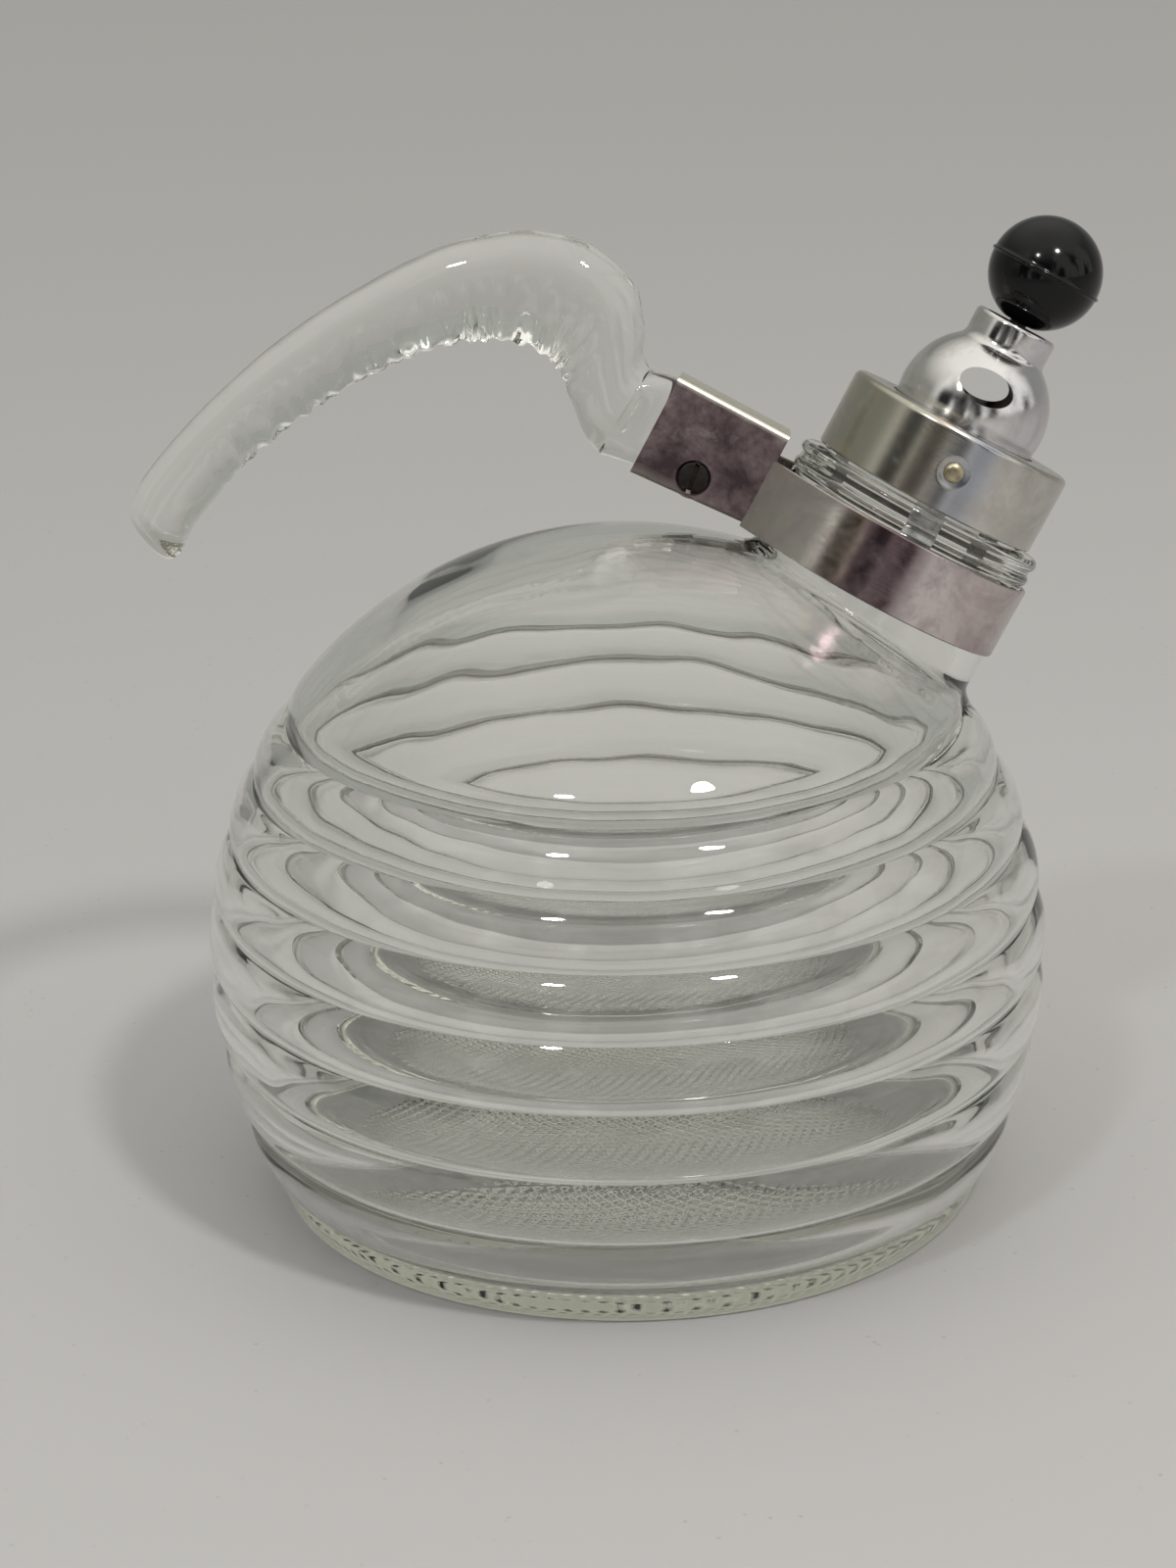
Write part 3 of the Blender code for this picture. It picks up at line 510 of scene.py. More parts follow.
def makeFibre():
    paint = Paint(bpy.data.materials.new("pressedFibre"))
    strands = paint.clouds(500.0, 6.0, 0.75, 0.0, paint.stretched((1.0, 6.0, 1.0)))
    colour = paint.stepped(strands, (0.3, (0.17, 0.12, 0.08)), (0.7, (0.34, 0.26, 0.18)))
    paint.set(Base_Color=colour, Roughness=0.85, Normal=paint.bump(strands, 0.00015, 0.7))
    return paint


def makeBlack():
    paint = Paint(bpy.data.materials.new("polishedPhenolic"))
    haze = paint.clouds(120.0, 5.0, 0.65, 0.5)
    dust = paint.mask(paint.cells(1500.0), 0.12, 0.05) * paint.mask(haze, 0.50, 0.70)
    flow = paint.clouds(30.0, 3.0)
    paint.set(
        Base_Color=paint.blend(dust * 0.08, (0.0025, 0.0025, 0.0028), (0.12, 0.115, 0.11)),
        Roughness=0.07 + haze * 0.08,
        Specular_IOR_Level=0.28,
        Normal=paint.bump(flow, 0.0002, 0.15),
    )
    return paint


bodyGlass = makeBodyGlass()
handleGlass = makeHandleGlass()
plate = makePlate()
cheekPlate = makeCheek()
# its strips are a painted reflection of the room, on the cap's skirt and the whistle discs
spun = makeSpun(
    "spunAluminium",
    (
        (0.06, (0.42, 0.40, 0.33)),
        (0.13, (0.50, 0.48, 0.41)),
        (0.165, (0.70, 0.62, 0.50)),
        (0.195, (0.52, 0.52, 0.53)),
        (0.23, (0.46, 0.49, 0.56)),
        (0.27, (0.66, 0.64, 0.60)),
        (0.38, (0.52, 0.51, 0.47)),
        (0.55, (0.62, 0.60, 0.56)),
        (0.98, (0.42, 0.40, 0.33)),
    ),
    0.15,
)
# its strips are a painted reflection of the room on the dome, brightest near where it faces the camera
polished = makeSpun(
    "polishedAluminium",
    (
        (0.05, (0.66, 0.65, 0.63)),
        (0.2, (0.80, 0.79, 0.78)),
        (0.30, (0.64, 0.63, 0.66)),
        (0.9, (0.70, 0.69, 0.67)),
    ),
    0.045,
)
# painted shade: the screw metal is nearly black, standing for the clamp screw's head sunk in shade in its
# dished cheek; the nut and the knob's screw and washer share it
screwMetal = makeScrewMetal("platedScrewPaintedShade", (0.055, 0.048, 0.044), 0.36)
springMetal = makeScrewMetal("springSteel", (0.66, 0.66, 0.65), 0.30)
brassMetal = makeScrewMetal("dullBrass", (0.56, 0.49, 0.33), 0.22)
fibre = makeFibre()
black = makeBlack()
print("finishes made")


# Glass ball with its neck

def sphereUp(radius, out, angle):
    # how far along the neck's axis the ball's surface lies, out from that axis
    side = out * math.cos(angle) - centreSide
    across = out * math.sin(angle)
    return centreUp + math.sqrt(radius**2 - side**2 - across**2)


def ribDepth(latitude):
    # latitude in degrees
    top, rib = ball["topGroove"], ball["rib"]
    last = top - rib * (ball["grooves"] - 1)
    if latitude >= top:
        return ball["grooveDepth"] * max(0.0, 1 - (latitude - top) / (0.42 * rib)) ** 2.2
    if latitude >= last:
        along = ((top - latitude) / rib) % 1.0
    else:
        along = min(1.0, (last - latitude) / (last - footLatitude))
    return ball["grooveDepth"] * abs(2 * along - 1) ** 2.4


def ballPoint(latitude, depth):
    half = ball["radius"] if latitude > 0 else ball["lowerHalf"]
    angle = math.radians(latitude)
    return (ball["radius"] - depth) * math.cos(angle), ball["centre"] + (half - depth) * math.sin(angle)


def outerProfile():
    points = []
    latitude = 90.0
    while latitude > ball["topGroove"] + ball["crownEnd"]:
        points.append(latitude)
        latitude -= ball["crownStep"]
    for share in (1.0, 0.72, 0.5, 0.32, 0.18, 0.08):
        points.append(ball["topGroove"] + ball["shoulder"] * share)
    grooves = [ball["topGroove"] - ball["rib"] * index for index in range(ball["grooves"])]
    grooves.append(footLatitude)
    points.append(grooves[0])
    count = ball["ribPoints"]
    for upper, lower in zip(grooves, grooves[1:]):
        for index in range(1, count + 1):
            along = 0.5 - 0.5 * math.cos(math.pi * index / count)
            points.append(upper + (lower - upper) * along)
    profile = [ballPoint(latitude, ribDepth(latitude)) for latitude in points]
    profile[0] = (0.0, profile[0][1])
    footTop = profile[-1][0]
    base = ball["radius"] * math.sqrt(1 - (ball["centre"] / ball["lowerHalf"]) ** 2)
    footRadius = base - ball["footInset"] + ball["grooveDepth"]
    for index in range(1, 9):
        angle = math.pi / 2 * index / 8
        rise = ball["footHeight"] * (1 - math.sin(angle))
        profile.append((footRadius + (footTop - footRadius) * math.cos(angle), rise))
    profile += [(footRadius * share, 0.0) for share in (0.97, 0.9, 0.7, 0.4)]
    profile.append((0.0, 0.0))
    return profile


def innerProfile():
    profile = []
    latitude = 90.0
    while latitude > -25.0:
        profile.append(ballPoint(latitude, ball["wall"]))
        latitude -= ball["crownStep"]
    profile[0] = (0.0, profile[0][1])
    floor = ball["floor"]
    corner = Vector((ball["floorCorner"], floor + 0.0002))
    flat = Vector((ball["floorRadius"], floor))
    for point in bezier(Vector(profile[-1]), corner, flat, 12)[1:]:
        profile.append((point.x, point.y))
    profile += [(0.045, floor), (0.03, floor), (0.015, floor), (0.0, floor)]
    return profile


def wavyWall(angle, radius, height):
    # the blown inside isn't quite true
    spot = Vector((radius * math.cos(angle), radius * math.sin(angle), height))
    amount = 0.00062 * noise.noise(spot * 30.0) + 0.00006 * noise.noise(spot * 110.0)
    amount *= min(1.0, max(0.0, (height - 0.010) / 0.02))
    return radius + amount, height + amount * 0.4


def offNeck(point):
    local = neckFrame.inverted() @ point
    return math.hypot(local.x, local.y), local.z, math.atan2(local.y, local.x)


def cutHole(shape, faces, limit):
    doomed = []
    for face in faces:
        for vert in face.verts:
            out, up, _ = offNeck(vert.co)
            if out < limit and up > 0.05:
                doomed.append(face)
                break
    bmesh.ops.delete(shape, geom=doomed, context="FACES")
    return [edge for edge in shape.edges if edge.is_boundary]


def walkLoop(edges):
    first = edges[0]
    nearby = {}
    for edge in edges:
        for vert in edge.verts:
            nearby.setdefault(vert, []).append(edge)
    loop = [first.verts[0], first.verts[1]]
    used = {first}
    while True:
        onward = [edge for edge in nearby[loop[-1]] if edge not in used]
        if not onward:
            break
        used.add(onward[0])
        following = onward[0].other_vert(loop[-1])
        if following is loop[0]:
            break
        loop.append(following)
    return loop


def startedAtZero(loop):
    angles = [offNeck(vert.co)[2] % tau for vert in loop]
    count = len(loop)
    rising = sum(1 for a, b in zip(angles, angles[1:]) if b > a) > count / 2
    if not rising:
        loop, angles = loop[::-1], angles[::-1]
    start = min(range(count), key=lambda index: angles[index])
    return loop[start:] + loop[:start]


def zipLoops(shape, first, second):
    first, second = startedAtZero(first), startedAtZero(second)
    one = [offNeck(vert.co)[2] % tau for vert in first] + [tau + offNeck(first[0].co)[2] % tau]
    two = [offNeck(vert.co)[2] % tau for vert in second] + [tau + offNeck(second[0].co)[2] % tau]
    i = j = 0
    while i < len(first) or j < len(second):
        a, b = first[i % len(first)], second[j % len(second)]
        if j >= len(second) or (i < len(first) and one[i + 1] <= two[j + 1]):
            shape.faces.new((a, first[(i + 1) % len(first)], b))
            i += 1
        else:
            shape.faces.new((a, second[(j + 1) % len(second)], b))
            j += 1


def neckPoint(out, up, angle):
    return neckFrame @ Vector((out * math.cos(angle), out * math.sin(angle), up))


def onRibbedBall(out, angle):
    point = neckPoint(out, sphereUp(ball["radius"], out, angle), angle)
    centre = Vector((0, 0, ball["centre"]))
    outward = (point - centre).normalized()
    latitude = math.degrees(math.asin(outward.z))
    radius, height = ballPoint(latitude, ribDepth(latitude))
    flat = Vector((outward.x, outward.y)).normalized()
    return Vector((flat.x * radius, flat.y * radius, height))


def outsideFillet(angle, t):
    # from the ball's ribbed outside, t = 0, up to the neck's wall, t = 1
    radius = neck["radius"]
    rise = sphereUp(ball["radius"], radius, angle)
    foot = onRibbedBall(radius + neck["fillet"], angle)
    corner = neckPoint(radius, rise, angle)
    head = neckPoint(radius, rise + neck["filletRise"], angle)
    return bezierPoint(foot, corner, head, t)


def insideFlare(angle, t):
    # from the bore, t = 0, out to the ball's inside, t = 1
    inner = ball["radius"] - ball["wall"]
    bore, flare = neck["bore"], neck["bore"] + neck["flare"]
    rise = sphereUp(inner, bore, angle)
    head = neckPoint(bore, rise + neck["flareRise"], angle)
    corner = neckPoint(bore + 0.0002, rise + 0.0002, angle)
    foot = neckPoint(flare, sphereUp(inner, flare, angle), angle)
    return bezierPoint(head, corner, foot, t)


def onNeck(angle, radius, up):
    return neckPoint(radius, up, angle)


def neckRing(shape, place, *settings):
    columns = neck["columns"]
    return [shape.verts.new(place(tau * column / columns, *settings)) for column in range(columns)]


def makeBall():
    shape = bmesh.new()
    spin(shape, outerProfile(), ball["columns"])
    outerLoop = walkLoop(cutHole(shape, list(shape.faces), neck["radius"] + neck["outerHole"]))
    made = set(shape.faces)
    spin(shape, innerProfile(), ball["columns"], wobble=wavyWall)
    inside = [face for face in shape.faces if face not in made]
    edges = cutHole(shape, inside, neck["bore"] + neck["innerHole"])
    innerLoop = walkLoop([edge for edge in edges if edge.verts[0] not in outerLoop])

    # one strip from the ball, over the fillet, up the wall, round the beaded lip and down the bore
    lip, bore, bead = neck["lip"], neck["bore"], neck["bead"]
    strip = [(neck["radius"], bandLow + 0.001), (neck["radius"], lipLow - 0.0002)]
    strip += arcOf(lip - bead, lipLow + 0.0014, bead, -70, 60, 7)
    strip += arcOf(lip - bead, lipLow + 0.0046, bead + 0.0001, -55, 90, 8)
    strip += [(lip - 0.0022, lipTop - 0.0003), (bore + 0.0014, lipTop - 0.0003)]
    strip += arcOf(bore + bead, lipTop - 0.0015, bead, 90, 180, 6)
    strip += [(bore, lipTop - 0.006), (bore - 0.0001, lipTop - 0.016)]
    rings = []
    for step in range(neck["filletRings"] + 1):
        rings.append(neckRing(shape, outsideFillet, step / neck["filletRings"]))
    for radius, up in strip:
        rings.append(neckRing(shape, onNeck, radius, up))
    for step in range(neck["flareRings"] + 1):
        rings.append(neckRing(shape, insideFlare, step / neck["flareRings"]))
    for first, second in zip(rings, rings[1:]):
        joinRings(shape, first, second)
    zipLoops(shape, outerLoop, rings[0])
    zipLoops(shape, innerLoop, rings[-1])
    makePiece("glassBall", shape, "kettle", Matrix(), bodyGlass, ["glass_body"], 50)


makeBall()
print("ball made")


# Solid glass handle

handle = {
    # distance outward from the clamp screw and rise above the tenon's middle: upper edge, then lower edge
    "stations": (
        (0.0947, -0.0620, 0.0819, -0.0666),
        (0.0947, -0.0564, 0.0818, -0.0606),
        (0.0922, -0.0453, 0.0794, -0.0500),
        (0.0882, -0.0331, 0.0757, -0.0398),
        (0.0832, -0.0210, 0.0699, -0.0285),
        (0.0757, -0.0075, 0.0623, -0.0166),
        (0.0650, 0.0079, 0.0528, -0.0062),
        (0.0571, 0.0152, 0.0468, -0.0026),
        (0.0495, 0.0203, 0.0406, -0.0001),
        (0.0384, 0.0232, 0.0350, -0.0002),
        (0.0271, 0.0203, 0.0314, -0.0021),
        (0.0217, 0.0141, 0.0266, -0.0060),
        (0.0194, 0.0094, 0.0220, -0.0098),
        (0.0169, 0.0075, 0.0180, -0.0113),
    ),
    "tip": 0.0042,
    "depth": 0.0150,
    "tenonDepth": 0.0138,
    "tenonLength": 0.0215,
    "sides": 64,
    "steps": 14,
    "tipRings": 11,
    "gripStart": 0.012,
    "gripEnd": 0.112,
    "dent": 0.0013,
    "dentPitch": 0.0043,
    "bead": 0.0006,
    "beadPitch": 0.0058,
}


def tenonStation(out):
    low = bracketLowAt(out) + band["sheet"] + gap
    top = bracketTop - band["sheet"] - gap
    return Vector((-out, top, -out, low))


def middleOf(station):
    return Vector((station[0] + station[2], 0, station[1] + station[3])) / 2


def moulding(run, angle, along, deep):
    # how far the surface stands out: finger ribs across the underside, a row of beads along the
    # rear of the top, and small moulding flaws
    cosine, sine = math.cos(angle), math.sin(angle)
    begun = min(1.0, max(0.0, (run - handle["gripStart"]) / 0.012))
    grip = begun * min(1.0, max(0.0, (handle["gripEnd"] - run) / 0.008))
    under = min(1.0, max(0.0, (0.12 - cosine) * 1.2)) * grip
    ridge = math.sin(tau * run / handle["dentPitch"] + 1.3 * math.sin(run * 310) + 2.5 * sine)
    flaw = noise.noise(Vector((run, along * 0.008, deep)) * 230)
    dent = handle["dent"] * under * (0.42 + 0.30 * ridge + 0.8 * flaw)
    edge = math.exp(-((angle - 0.42) / 0.20) ** 2) * grip
    bead = (0.5 + 0.5 * math.sin(tau * run / handle["beadPitch"] + math.sin(run * 190))) ** 2
    return handle["bead"] * edge * bead - max(0.0, dent)


def makeHandle():
    tenonUp = bracketLow + band["inner"] / 2
    stations = []
    for upperOut, upperRise, lowerOut, lowerRise in handle["stations"]:
        upper = (-screwOut - upperOut, tenonUp + upperRise)
        lower = (-screwOut - lowerOut, tenonUp + lowerRise)
        stations.append(Vector((*upper, *lower)))
    arm = curve(stations, handle["steps"])
    armCount = len(arm)
    for out in (mouthOut + 0.0008, screwOut, mouthOut - handle["tenonLength"]):
        arm.append(tenonStation(out))
    sides = handle["sides"]
    shape = bmesh.new()
    rings = []
    run = 0.0
    middleBefore = None
    for index, station in enumerate(arm):
        centre = middleOf(station)
        wide = Vector((station[0] - station[2], 0, station[1] - station[3])) / 2
        if middleBefore is not None:
            run += (centre - middleBefore).length
        middleBefore = centre
        square = min(1.0, max(0.0, (index - armCount + 4) / 4))
        depth = handle["depth"] + (handle["tenonDepth"] - handle["depth"]) * square
        power = 0.80 - 0.42 * square
        ring = []
        for side in range(sides):
            angle = tau * (side + 0.5) / sides
            cosine, sine = math.cos(angle), math.sin(angle)
            along = math.copysign(abs(cosine) ** power, cosine)
            deep = math.copysign(abs(sine) ** power, sine) * depth / 2
            point = centre + wide * along + Vector((0, deep, 0))
            outward = (point - centre).normalized()
            ring.append(shape.verts.new(point + outward * moulding(run, angle, along, deep)))
        rings.append(ring)
    for first, second in zip(rings, rings[1:]):
        joinRings(shape, first, second)

    # the rounded tip
    start = middleOf(arm[0])
    onward = (start - middleOf(arm[3])).normalized()
    nearer = rings[0]
    places = [vert.co.copy() for vert in rings[0]]
    for step in range(1, handle["tipRings"]):
        reach = math.sin(math.pi / 2 * step / handle["tipRings"])
        shrink = (1 - reach**2.7) ** (1 / 2.7)
        ring = []
        for place in places:
            offset = (place - start) * shrink + onward * handle["tip"] * reach
            ring.append(shape.verts.new(start + offset))
        joinRings(shape, nearer, ring)
        nearer = ring
    tip = shape.verts.new(start + onward * handle["tip"])
    for index in range(sides):
        shape.faces.new((nearer[index], nearer[(index + 1) % sides], tip))
    shape.faces.new(rings[-1])
    makePiece("pressedHandle", shape, "kettle", bandFrame, handleGlass, ["glass_handle"], 60)


makeHandle()
print("handle made")


# Neck band with its bracket

def roundedPath(corners, radius, steps):
    found = []
    count = len(corners)
    for index, (x, y, sharp) in enumerate(corners):
        here = Vector((x, y))
        if sharp:
            found.append(here)
            continue
        before = (Vector(corners[index - 1][:2]) - here).normalized()
        after = (Vector(corners[(index + 1) % count][:2]) - here).normalized()
        found += bezier(here + before * radius, here, here + after * radius, steps)
    return found


def bracketOutline(low, top):
    outside, inside = band["cheek"], band["cheek"] - band["sheet"]
    lip, sheet, bend = band["lip"], band["sheet"], band["bend"]
    outer = roundedPath(
        [
            (-outside + lip, low, True),
            (-outside, low, False),
            (-outside, top, False),
            (outside, top, False),
            (outside, low, False),
            (outside - lip, low, True),
        ],
        bend,
        7,
    )
    inner = roundedPath(
        [
            (outside - lip, low + sheet, True),
            (inside, low + sheet, False),
            (inside, top - sheet, False),
            (-inside, top - sheet, False),
            (-inside, low + sheet, False),
            (-outside + lip, low + sheet, True),
        ],
        bend - sheet,
        7,
    )
    return outer + inner


def sideways(out, up):
    # a frame on the clamp screw's line, its Z across the bracket
    return bandFrame @ Matrix.Translation((-out, 0, up)) @ Matrix.Rotation(math.radians(90), 4, "X")


def makeBracket():
    shape = bmesh.new()
    loops = []
    steps = 14
    for step in range(steps + 1):
        out = mouthOut + (band["crease"] - mouthOut) * step / steps
        outline = bracketOutline(bracketLowAt(out), bracketTop)
        loops.append([shape.verts.new((-out, point.x, point.y)) for point in outline])
    for first, second in zip(loops, loops[1:]):
        joinRings(shape, first, second)
    shape.faces.new(loops[0])
    shape.faces.new(loops[-1])
    bracket = makePiece(
        "foldedBracket", shape, "kettle", bandFrame, cheekPlate, ["neck_band"], 40
    )
    # the near cheek is dished round the screw, and both cheeks are drilled
    outside = band["cheek"]
    rim, deep = outside - 0.0005, outside - 0.0019
    dimple = bmesh.new()
    spin(dimple, [(0.0, rim), (0.0041, rim), (0.0025, deep), (0.0, deep)], 48)
    hole = bmesh.new()
    profile = [(0.0, outside + 0.001), (0.0036, outside + 0.001), (0.0034, outside - 0.0001)]
    profile += [(0.0032, rim), (0.0032, outside - 0.0007), (0.0022, outside - 0.0016)]
    profile += [(0.0022, -outside - 0.001), (0.0, -outside - 0.001)]
    spin(hole, profile, 48)
    place = sideways(screwOut, screwUp)
    useTool(bracket, "dimple", dimple, place, "UNION")
    useTool(bracket, "hole", hole, place, "DIFFERENCE")


def makeStrap():
    # the strip itself, with slightly eased edges
    middle = neck["radius"] + gap + band["sheet"] / 2
    crease = Vector((-band["crease"] - band["sheet"] * 0.4, -band["cheek"] + band["sheet"] / 2))
    lean = math.atan2(crease.y, crease.x)
    start = lean + math.acos(middle / crease.length)
    path = [crease, crease.lerp(Vector((middle * math.cos(start), middle * math.sin(start))), 0.5)]
    steps = 150
    for step in range(steps + 1):
        angle = start - 2 * start * step / steps
        path.append(Vector((middle * math.cos(angle), middle * math.sin(angle))))
    path += [Vector((point.x, -point.y)) for point in path[1::-1]]
    half = band["sheet"] / 2
    ease = 0.00022
    section = [
        (-half, bandLow + ease),
        (-half, bandTop - ease),
        (-half + ease, bandTop),
        (half - ease, bandTop),
        (half, bandTop - ease),
        (half, bandLow + ease),
        (half - ease, bandLow),
        (-half + ease, bandLow),
    ]
    shape = bmesh.new()
    loops = []
    for index, point in enumerate(path):
        before, after = path[max(index - 1, 0)], path[min(index + 1, len(path) - 1)]
        along = (after - before).normalized()
        side = Vector((along.y, -along.x))
        loop = []
        for out, up in section:
            loop.append(shape.verts.new((point.x + side.x * out, point.y + side.y * out, up)))
        loops.append(loop)
    for first, second in zip(loops, loops[1:]):
        joinRings(shape, first, second)
    shape.faces.new(loops[0])
    shape.faces.new(loops[-1])
    makePiece("neckStrap", shape, "kettle", bandFrame, plate, [], 40)


makeBracket()
makeStrap()
print("band made")


# Clamp screw

clamp = {
    "sunk": 0.0003,
    "head": 0.0029,
    "headDepth": 0.0012,
    "shank": 0.0019,
    "root": 0.00168,
    "pitch": 0.0004,
    "nut": 0.0028,
    "past": 0.0012,
    "slot": (0.0009, 0.0080, 0.0016),
    "slotTurn": math.radians(8),
}


def makeClampScrew():
    face = band["cheek"] - clamp["sunk"]
    tail = -band["cheek"] - gap - clamp["nut"] - clamp["past"]
    head, shank, pitch = clamp["head"], clamp["shank"], clamp["pitch"]
    profile = [(0.0, face), (head - 0.0003, face), (head, face - 0.0001), (head, face - 0.0002)]
    profile.append((shank, face - clamp["headDepth"]))
    up = face - clamp["headDepth"] - pitch
    while up > tail + 2 * pitch:
        profile += [(shank, up), (clamp["root"], up - pitch / 2)]
        up -= pitch
    profile += [(0.0015, tail), (0.0, tail)]
    shape = bmesh.new()
    spin(shape, profile, 40)
    place = sideways(screwOut, screwUp)
    screw = makePiece(
        "slottedScrew", shape, "kettle", place, screwMetal, ["clamp_screw"], 35
    )
    slot = bmesh.new()
    box = Matrix.Translation((0, 0, face)) @ Matrix.Diagonal((*clamp["slot"], 1))
    bmesh.ops.create_cube(slot, size=1.0, matrix=box)
    useTool(screw, "slot", slot, place @ Matrix.Rotation(clamp["slotTurn"], 4, "Z"), "DIFFERENCE")


makeClampScrew()
print("clamp screw made")


# Cap. Heights are above the lip

cap = {
    "skirt": 0.0230,
    "height": 0.0156,
    "sheet": 0.0007,
    "bend": 0.0013,
    "dome": 0.0149,
    "domeSheet": 0.0006,
    "rise": 0.0036,
    "boss": 0.0084,
    "bossHeight": 0.0061,
    "rivetTurn": math.radians(-107.5),
    "rivetUp": 0.0080,
    "holeTurn": math.radians(-112.0),
    "holeUp": 0.0086,
    "hole": (0.0055, 0.0033),
    "shoulder": 0.0185,
    "dimple": 0.0031,
    "dimpleDepth": 0.00032,
    "rivetHead": 0.0019,
    "rivetShank": 0.0010,
    "rivetRise": 0.00062,
    "leaf": 0.0002,
}
knob = {"radius": 0.0110, "seat": 0.0030, "bore": 0.0020, "boreDepth": 0.0086}
skirtTop = gap + cap["height"]
domeCentre = skirtTop + cap["rise"]
bossFoot = domeCentre + math.sqrt(cap["dome"] ** 2 - (cap["boss"] + 0.0004) ** 2)
bossTop = bossFoot + cap["bossHeight"]


def outwardAt(turn, up):
    # a frame on the cap's axis, its Z outward to the side
    raised = Matrix.Rotation(turn, 4, "Z") @ Matrix.Translation((0, 0, up))
    return raised @ Matrix.Rotation(math.radians(90), 4, "Y")


def dished(angle, r, z):
    # a round dimple pressed in behind each rivet, in the skirt's outer wall only
    radius, dimple = cap["skirt"], cap["dimple"]
    if r < radius - cap["sheet"] - 0.0002 or z > skirtTop - cap["bend"]:
        return r, z
    for index in range(3):
        turn = (angle - cap["rivetTurn"] - tau * index / 3 + math.pi) % tau - math.pi
        apart = math.hypot(turn * radius, z - cap["rivetUp"])
        if apart < dimple:
            return r - cap["dimpleDepth"] * (1 - (apart / dimple) ** 4), z
    return r, z


def makeSkirt():
    radius, sheet, bend, shoulder = cap["skirt"], cap["sheet"], cap["bend"], cap["shoulder"]
    rows = 44
    low, high = gap + 0.0004, skirtTop - bend
    profile = [(radius - sheet, gap), (radius - 0.0004, gap), (radius, gap + 0.0003)]
    profile += [(radius, low + (high - low) * row / rows) for row in range(1, rows)]
    profile += arcOf(radius - bend, high, bend, 0, 90, 8)
    profile += [(shoulder, skirtTop), (0.0168, skirtTop - 0.00015), (cap["dome"] + gap, skirtTop)]
    profile += [(cap["dome"] + gap, skirtTop - sheet), (shoulder, skirtTop - sheet)]
    profile += arcOf(radius - bend, high, bend - sheet, 90, 0, 5)
    profile.append((radius - sheet, gap + 0.004))
    shape = bmesh.new()
    spin(shape, profile, 300, True, dished)
    makePiece("capSkirt", shape, "cap", capFrame, spun, ["cap_skirt"], 40)


def makeDome():
    sheet, radius, boss = cap["domeSheet"], cap["dome"], cap["boss"]
    start = math.degrees(math.asin((skirtTop + 0.0010 - domeCentre) / radius))
    end = math.degrees(math.acos((boss + 0.0009) / radius))
    low = skirtTop - cap["sheet"] - gap
    rim = radius * math.cos(math.radians(start))
    outer = [(rim, low), (rim, skirtTop + 0.0004)] + arcOf(0, domeCentre, radius, start, end, 26)
    # the boss leaves the dome in a small hollow
    last = Vector(outer[-1])
    corner = Vector((boss - 0.0003, last.y + 0.0008))
    hollow = bezier(last, corner, Vector((boss, bossFoot + 0.0022)), 7)
    outer += [(point.x, point.y) for point in hollow[1:]]
    edge = 0.0011
    outer += arcOf(boss - edge, bossTop - edge, edge, 0, 90, 8)
    inner = [(x - sheet * 0.8, z - sheet * 0.55) for x, z in outer[1:-9]]
    inner += arcOf(boss - sheet - 0.0006, bossTop - sheet - 0.0006, 0.0006, 0, 90, 5)
    bore = knob["bore"]
    profile = [(rim - sheet, low - 0.0006), (radius + 0.0009, low - 0.0006)]
    profile += [(radius + 0.0011, low - 0.0003), (radius + 0.0009, low)]
    profile += outer + [(bore + 0.0022, bossTop), (bore, bossTop - 0.0002), (bore, bossTop - sheet)]
    profile += inner[::-1]
    shape = bmesh.new()
    spin(shape, profile, 160, True)
    dome = makePiece(
        "whistleDomeShell", shape, "cap", capFrame, polished, ["whistle_dome"], 40
    )
    oval = bmesh.new()
    tall, wide = cap["hole"]
    ends = []
    for depth in (-0.02, 0.02):
        ring = []
        for index in range(56):
            angle = tau * index / 56
            ring.append(oval.verts.new((wide * math.cos(angle), tall * math.sin(angle), depth)))
        ends.append(ring)
    joinRings(oval, *ends)
    oval.faces.new(ends[0])
    oval.faces.new(ends[1])
    place = capFrame @ outwardAt(cap["holeTurn"], skirtTop + cap["holeUp"])
    useTool(dome, "oval", oval, place, "DIFFERENCE")


def makeRivets():
    near = cap["skirt"] + gap - cap["dimpleDepth"]
    leafOut = math.sqrt((cap["skirt"] - cap["sheet"]) ** 2 - 0.003**2) - gap - cap["leaf"]
    tail = leafOut - cap["leaf"] - gap
    head, shank, rise = cap["rivetHead"], cap["rivetShank"], cap["rivetRise"]
    profile = [(0.0, near + rise), (0.0007, near + 0.00060), (0.0013, near + 0.00048)]
    profile += [(0.0017, near + 0.00026), (head, near), (shank, near), (shank, tail)]
    profile += [(0.0015, tail), (0.0013, tail - 0.0004), (0.0, tail - 0.0005)]
    for index in range(3):
        shape = bmesh.new()
        spin(shape, profile, 36)
        place = capFrame @ outwardAt(cap["rivetTurn"] + tau * index / 3, cap["rivetUp"])
        name = f"cap_rivet_{index + 1}"
        makePiece(f"rivet{index + 1}", shape, "cap", place, brassMetal, [name], 40)


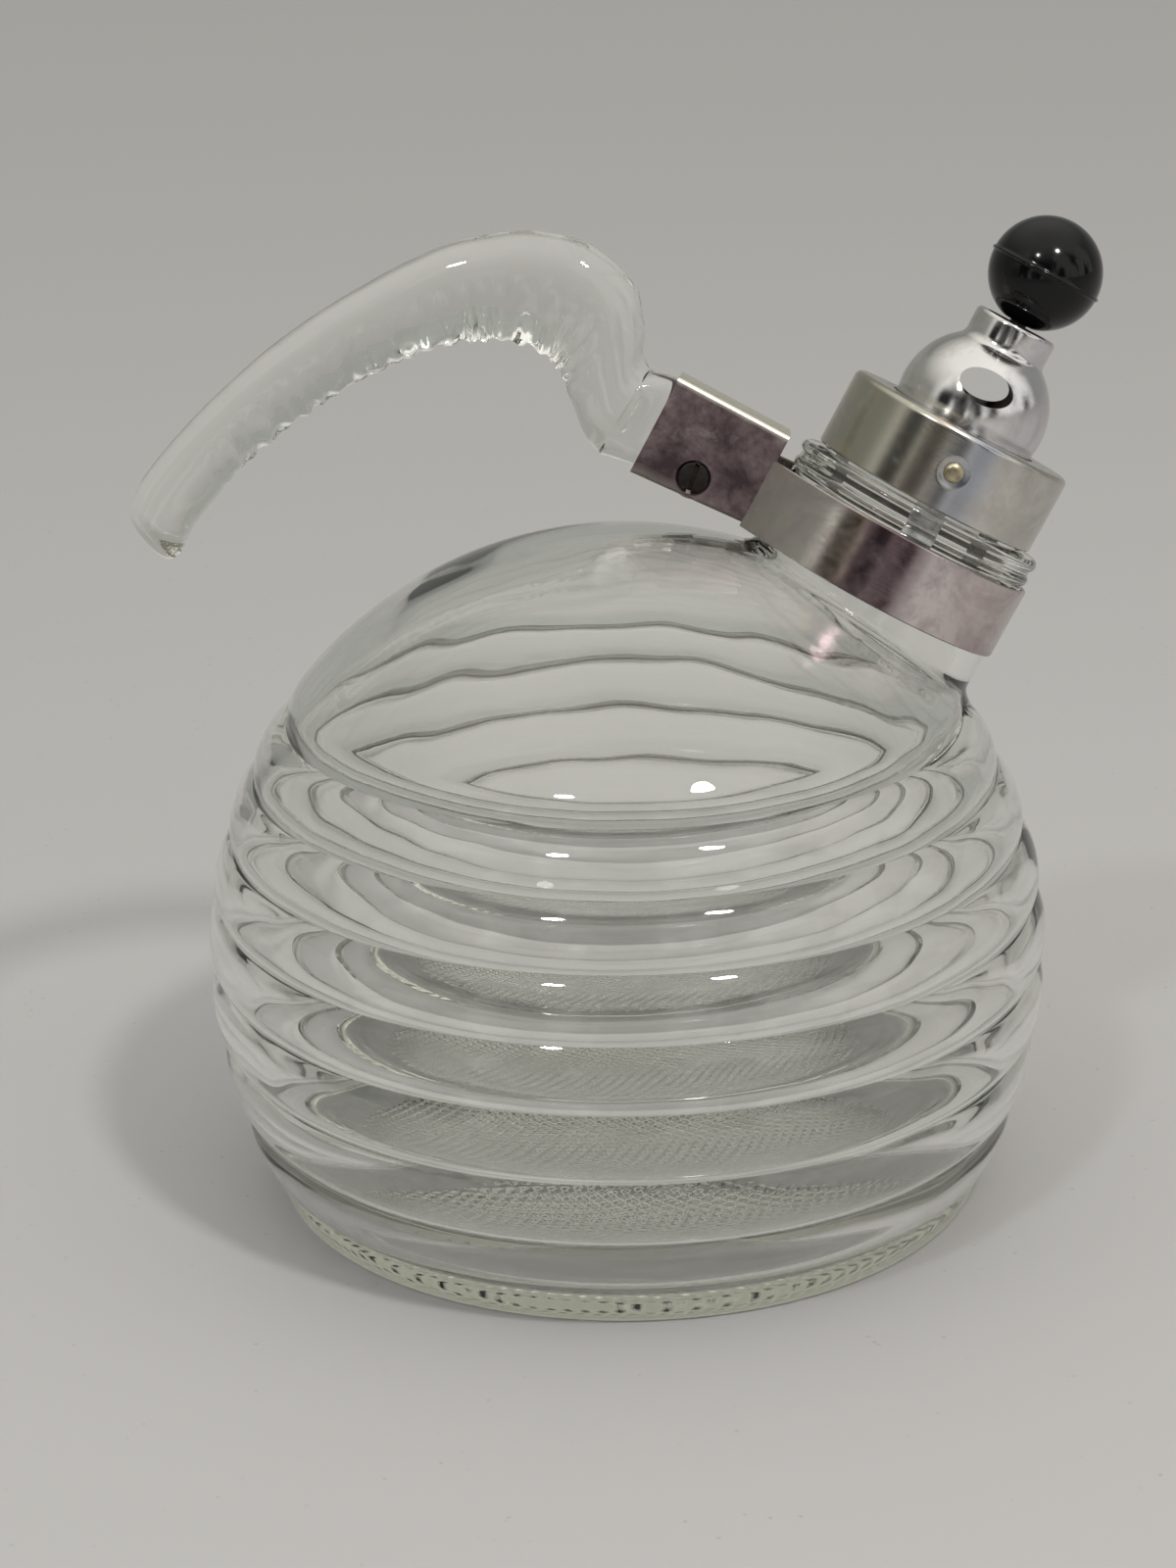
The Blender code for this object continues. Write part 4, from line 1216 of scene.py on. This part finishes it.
def makeKnob():
    seat = bossTop + gap
    radius, bore = knob["radius"], knob["bore"]
    centre = seat + math.sqrt(radius**2 - knob["seat"] ** 2)
    top = seat + knob["boreDepth"]
    profile = [(0.0, top), (bore, top), (bore, seat), (0.0027, seat)]
    low = math.degrees(math.asin((seat + 0.0002 - centre) / radius))
    profile += arcOf(0, centre, radius, low, -3.2, 34)
    # the parting line stands a little proud round the middle
    for angle, proud in ((-2.2, 0.00006), (-1.2, 0.0003), (0.0, 0.0004), (1.2, 0.0003), (2.2, 0.00006)):
        turn = math.radians(angle)
        out = radius + proud
        profile.append((out * math.cos(turn), centre + out * math.sin(turn)))
    profile += arcOf(0, centre, radius, 3.2, 88, 36) + [(0.0, centre + radius)]
    shape = bmesh.new()
    spin(shape, profile, 128)
    makePiece("roundKnob", shape, "cap", capFrame, black, ["ball_knob"], 50)


makeSkirt()
makeDome()
makeRivets()
makeKnob()
print("cap made")


# Pieces kept from the CAD, with their edges eased and better finishes

kept = {
    "handle_pad_front": fibre,
    "handle_pad_rear": fibre,
    "clamp_nut": screwMetal,
    "cap_leaf_1": springMetal,
    "cap_leaf_2": springMetal,
    "cap_leaf_3": springMetal,
    "whistle_disc_lower": spun,
    "whistle_disc_upper": spun,
    "knob_screw": screwMetal,
    "knob_washer": screwMetal,
}
for name, paint in kept.items():
    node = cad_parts[name]
    node.data.materials.clear()
    node.data.materials.append(paint.owner)
    eased = node.modifiers.new("eased", "BEVEL")
    eased.width = 0.00012
    eased.segments = 2
    eased.limit_method = "ANGLE"
print("kept pieces finished")


# Floor, light and camera

def makeFloor():
    shape = bmesh.new()
    bmesh.ops.create_grid(shape, x_segments=1, y_segments=1, size=40.0)
    floor = addMesh("floor", shape)
    floor.location = (0, 0, -0.0002)
    paint = Paint(bpy.data.materials.new("paleStone"))
    speck = paint.mask(paint.cells(230.0), 0.13, 0.07) * paint.mask(paint.clouds(60.0), 0.5, 0.62)
    colour = paint.blend(speck * 0.35, (0.47, 0.462, 0.458), (0.24, 0.23, 0.22))
    paint.set(Base_Color=colour, Roughness=0.62)
    floor.data.materials.append(paint.owner)


light = {
    "aim": 0.08,
    "key": {
        "azimuth": 20.0,
        "elevation": 55.0,
        "away": 1.4,
        "size": 0.14,
        "power": 6.5,
        "colour": (1.0, 0.97, 0.93),
    },
    "fill": {
        "azimuth": -40.0,
        "elevation": 50.0,
        "away": 1.6,
        "size": 0.15,
        "power": 3.6,
        "colour": (0.94, 0.97, 1.0),
    },
}


def makeLight():
    for name in ("key", "fill"):
        values = light[name]
        lamp = bpy.data.lights.new(name, "AREA")
        lamp.shape = "DISK"
        lamp.size = values["size"]
        lamp.energy = values["power"]
        lamp.color = values["colour"]
        made = addObject(name, lamp)
        back = towards(values["azimuth"], values["elevation"])
        made.location = Vector((0, 0, light["aim"])) + back * values["away"]
        made.rotation_mode = "QUATERNION"
        made.rotation_quaternion = back.to_track_quat("Z", "Y")


def makeRoom():
    # dim streaks with a few bright ones in front, a plain wall behind and a bright ceiling
    world = bpy.data.worlds.new("studio")
    bpy.context.scene.world = world
    paint = Paint(world, "Background", "Generated")
    streaks = paint.clouds(3.2, at=paint.stretched((1.0, 1.0, 0.18)))
    front = paint.stepped(
        streaks,
        (0.42, (0.022, 0.022, 0.021)),
        (0.50, (0.15, 0.146, 0.14)),
        (0.56, (0.95, 0.94, 0.90)),
    )
    behind = paint.mask(paint.part("Y"), -0.25, 0.10)
    above = paint.mask(paint.part("Z"), 0.50, 0.92)
    sides = paint.blend(behind, front, (0.325, 0.33, 0.305))
    paint.set(Color=paint.blend(above, sides, (1.05, 1.03, 0.98)))


camera = {
    "azimuth": -15.0,
    "elevation": 20.75,
    "away": 0.686,
    "aim": 0.068,
    "lens": 80.1,
    "roll": math.radians(-0.75),
    "shift": (-0.024375, 0.038125),
}


def makeCamera():
    lens = bpy.data.cameras.new("camera")
    lens.lens = camera["lens"]
    lens.sensor_width = 36.0
    lens.shift_x, lens.shift_y = camera["shift"]
    lens.clip_start = 0.01
    made = addObject("camera", lens)
    back = towards(camera["azimuth"], camera["elevation"])
    made.location = Vector((0, 0, camera["aim"])) + back * camera["away"]
    level = back.to_track_quat("Z", "Y").to_matrix().to_4x4()
    made.rotation_euler = (level @ Matrix.Rotation(camera["roll"], 4, "Z")).to_euler()
    bpy.context.scene.camera = made


makeFloor()
makeLight()
makeRoom()
makeCamera()
scene = bpy.context.scene
scene.view_settings.view_transform = "Standard"
scene.cycles.max_bounces = 24
scene.cycles.transmission_bounces = 24
scene.cycles.glossy_bounces = 8
scene.cycles.diffuse_bounces = 4
scene.cycles.sample_clamp_indirect = 6.0
print("stage made")
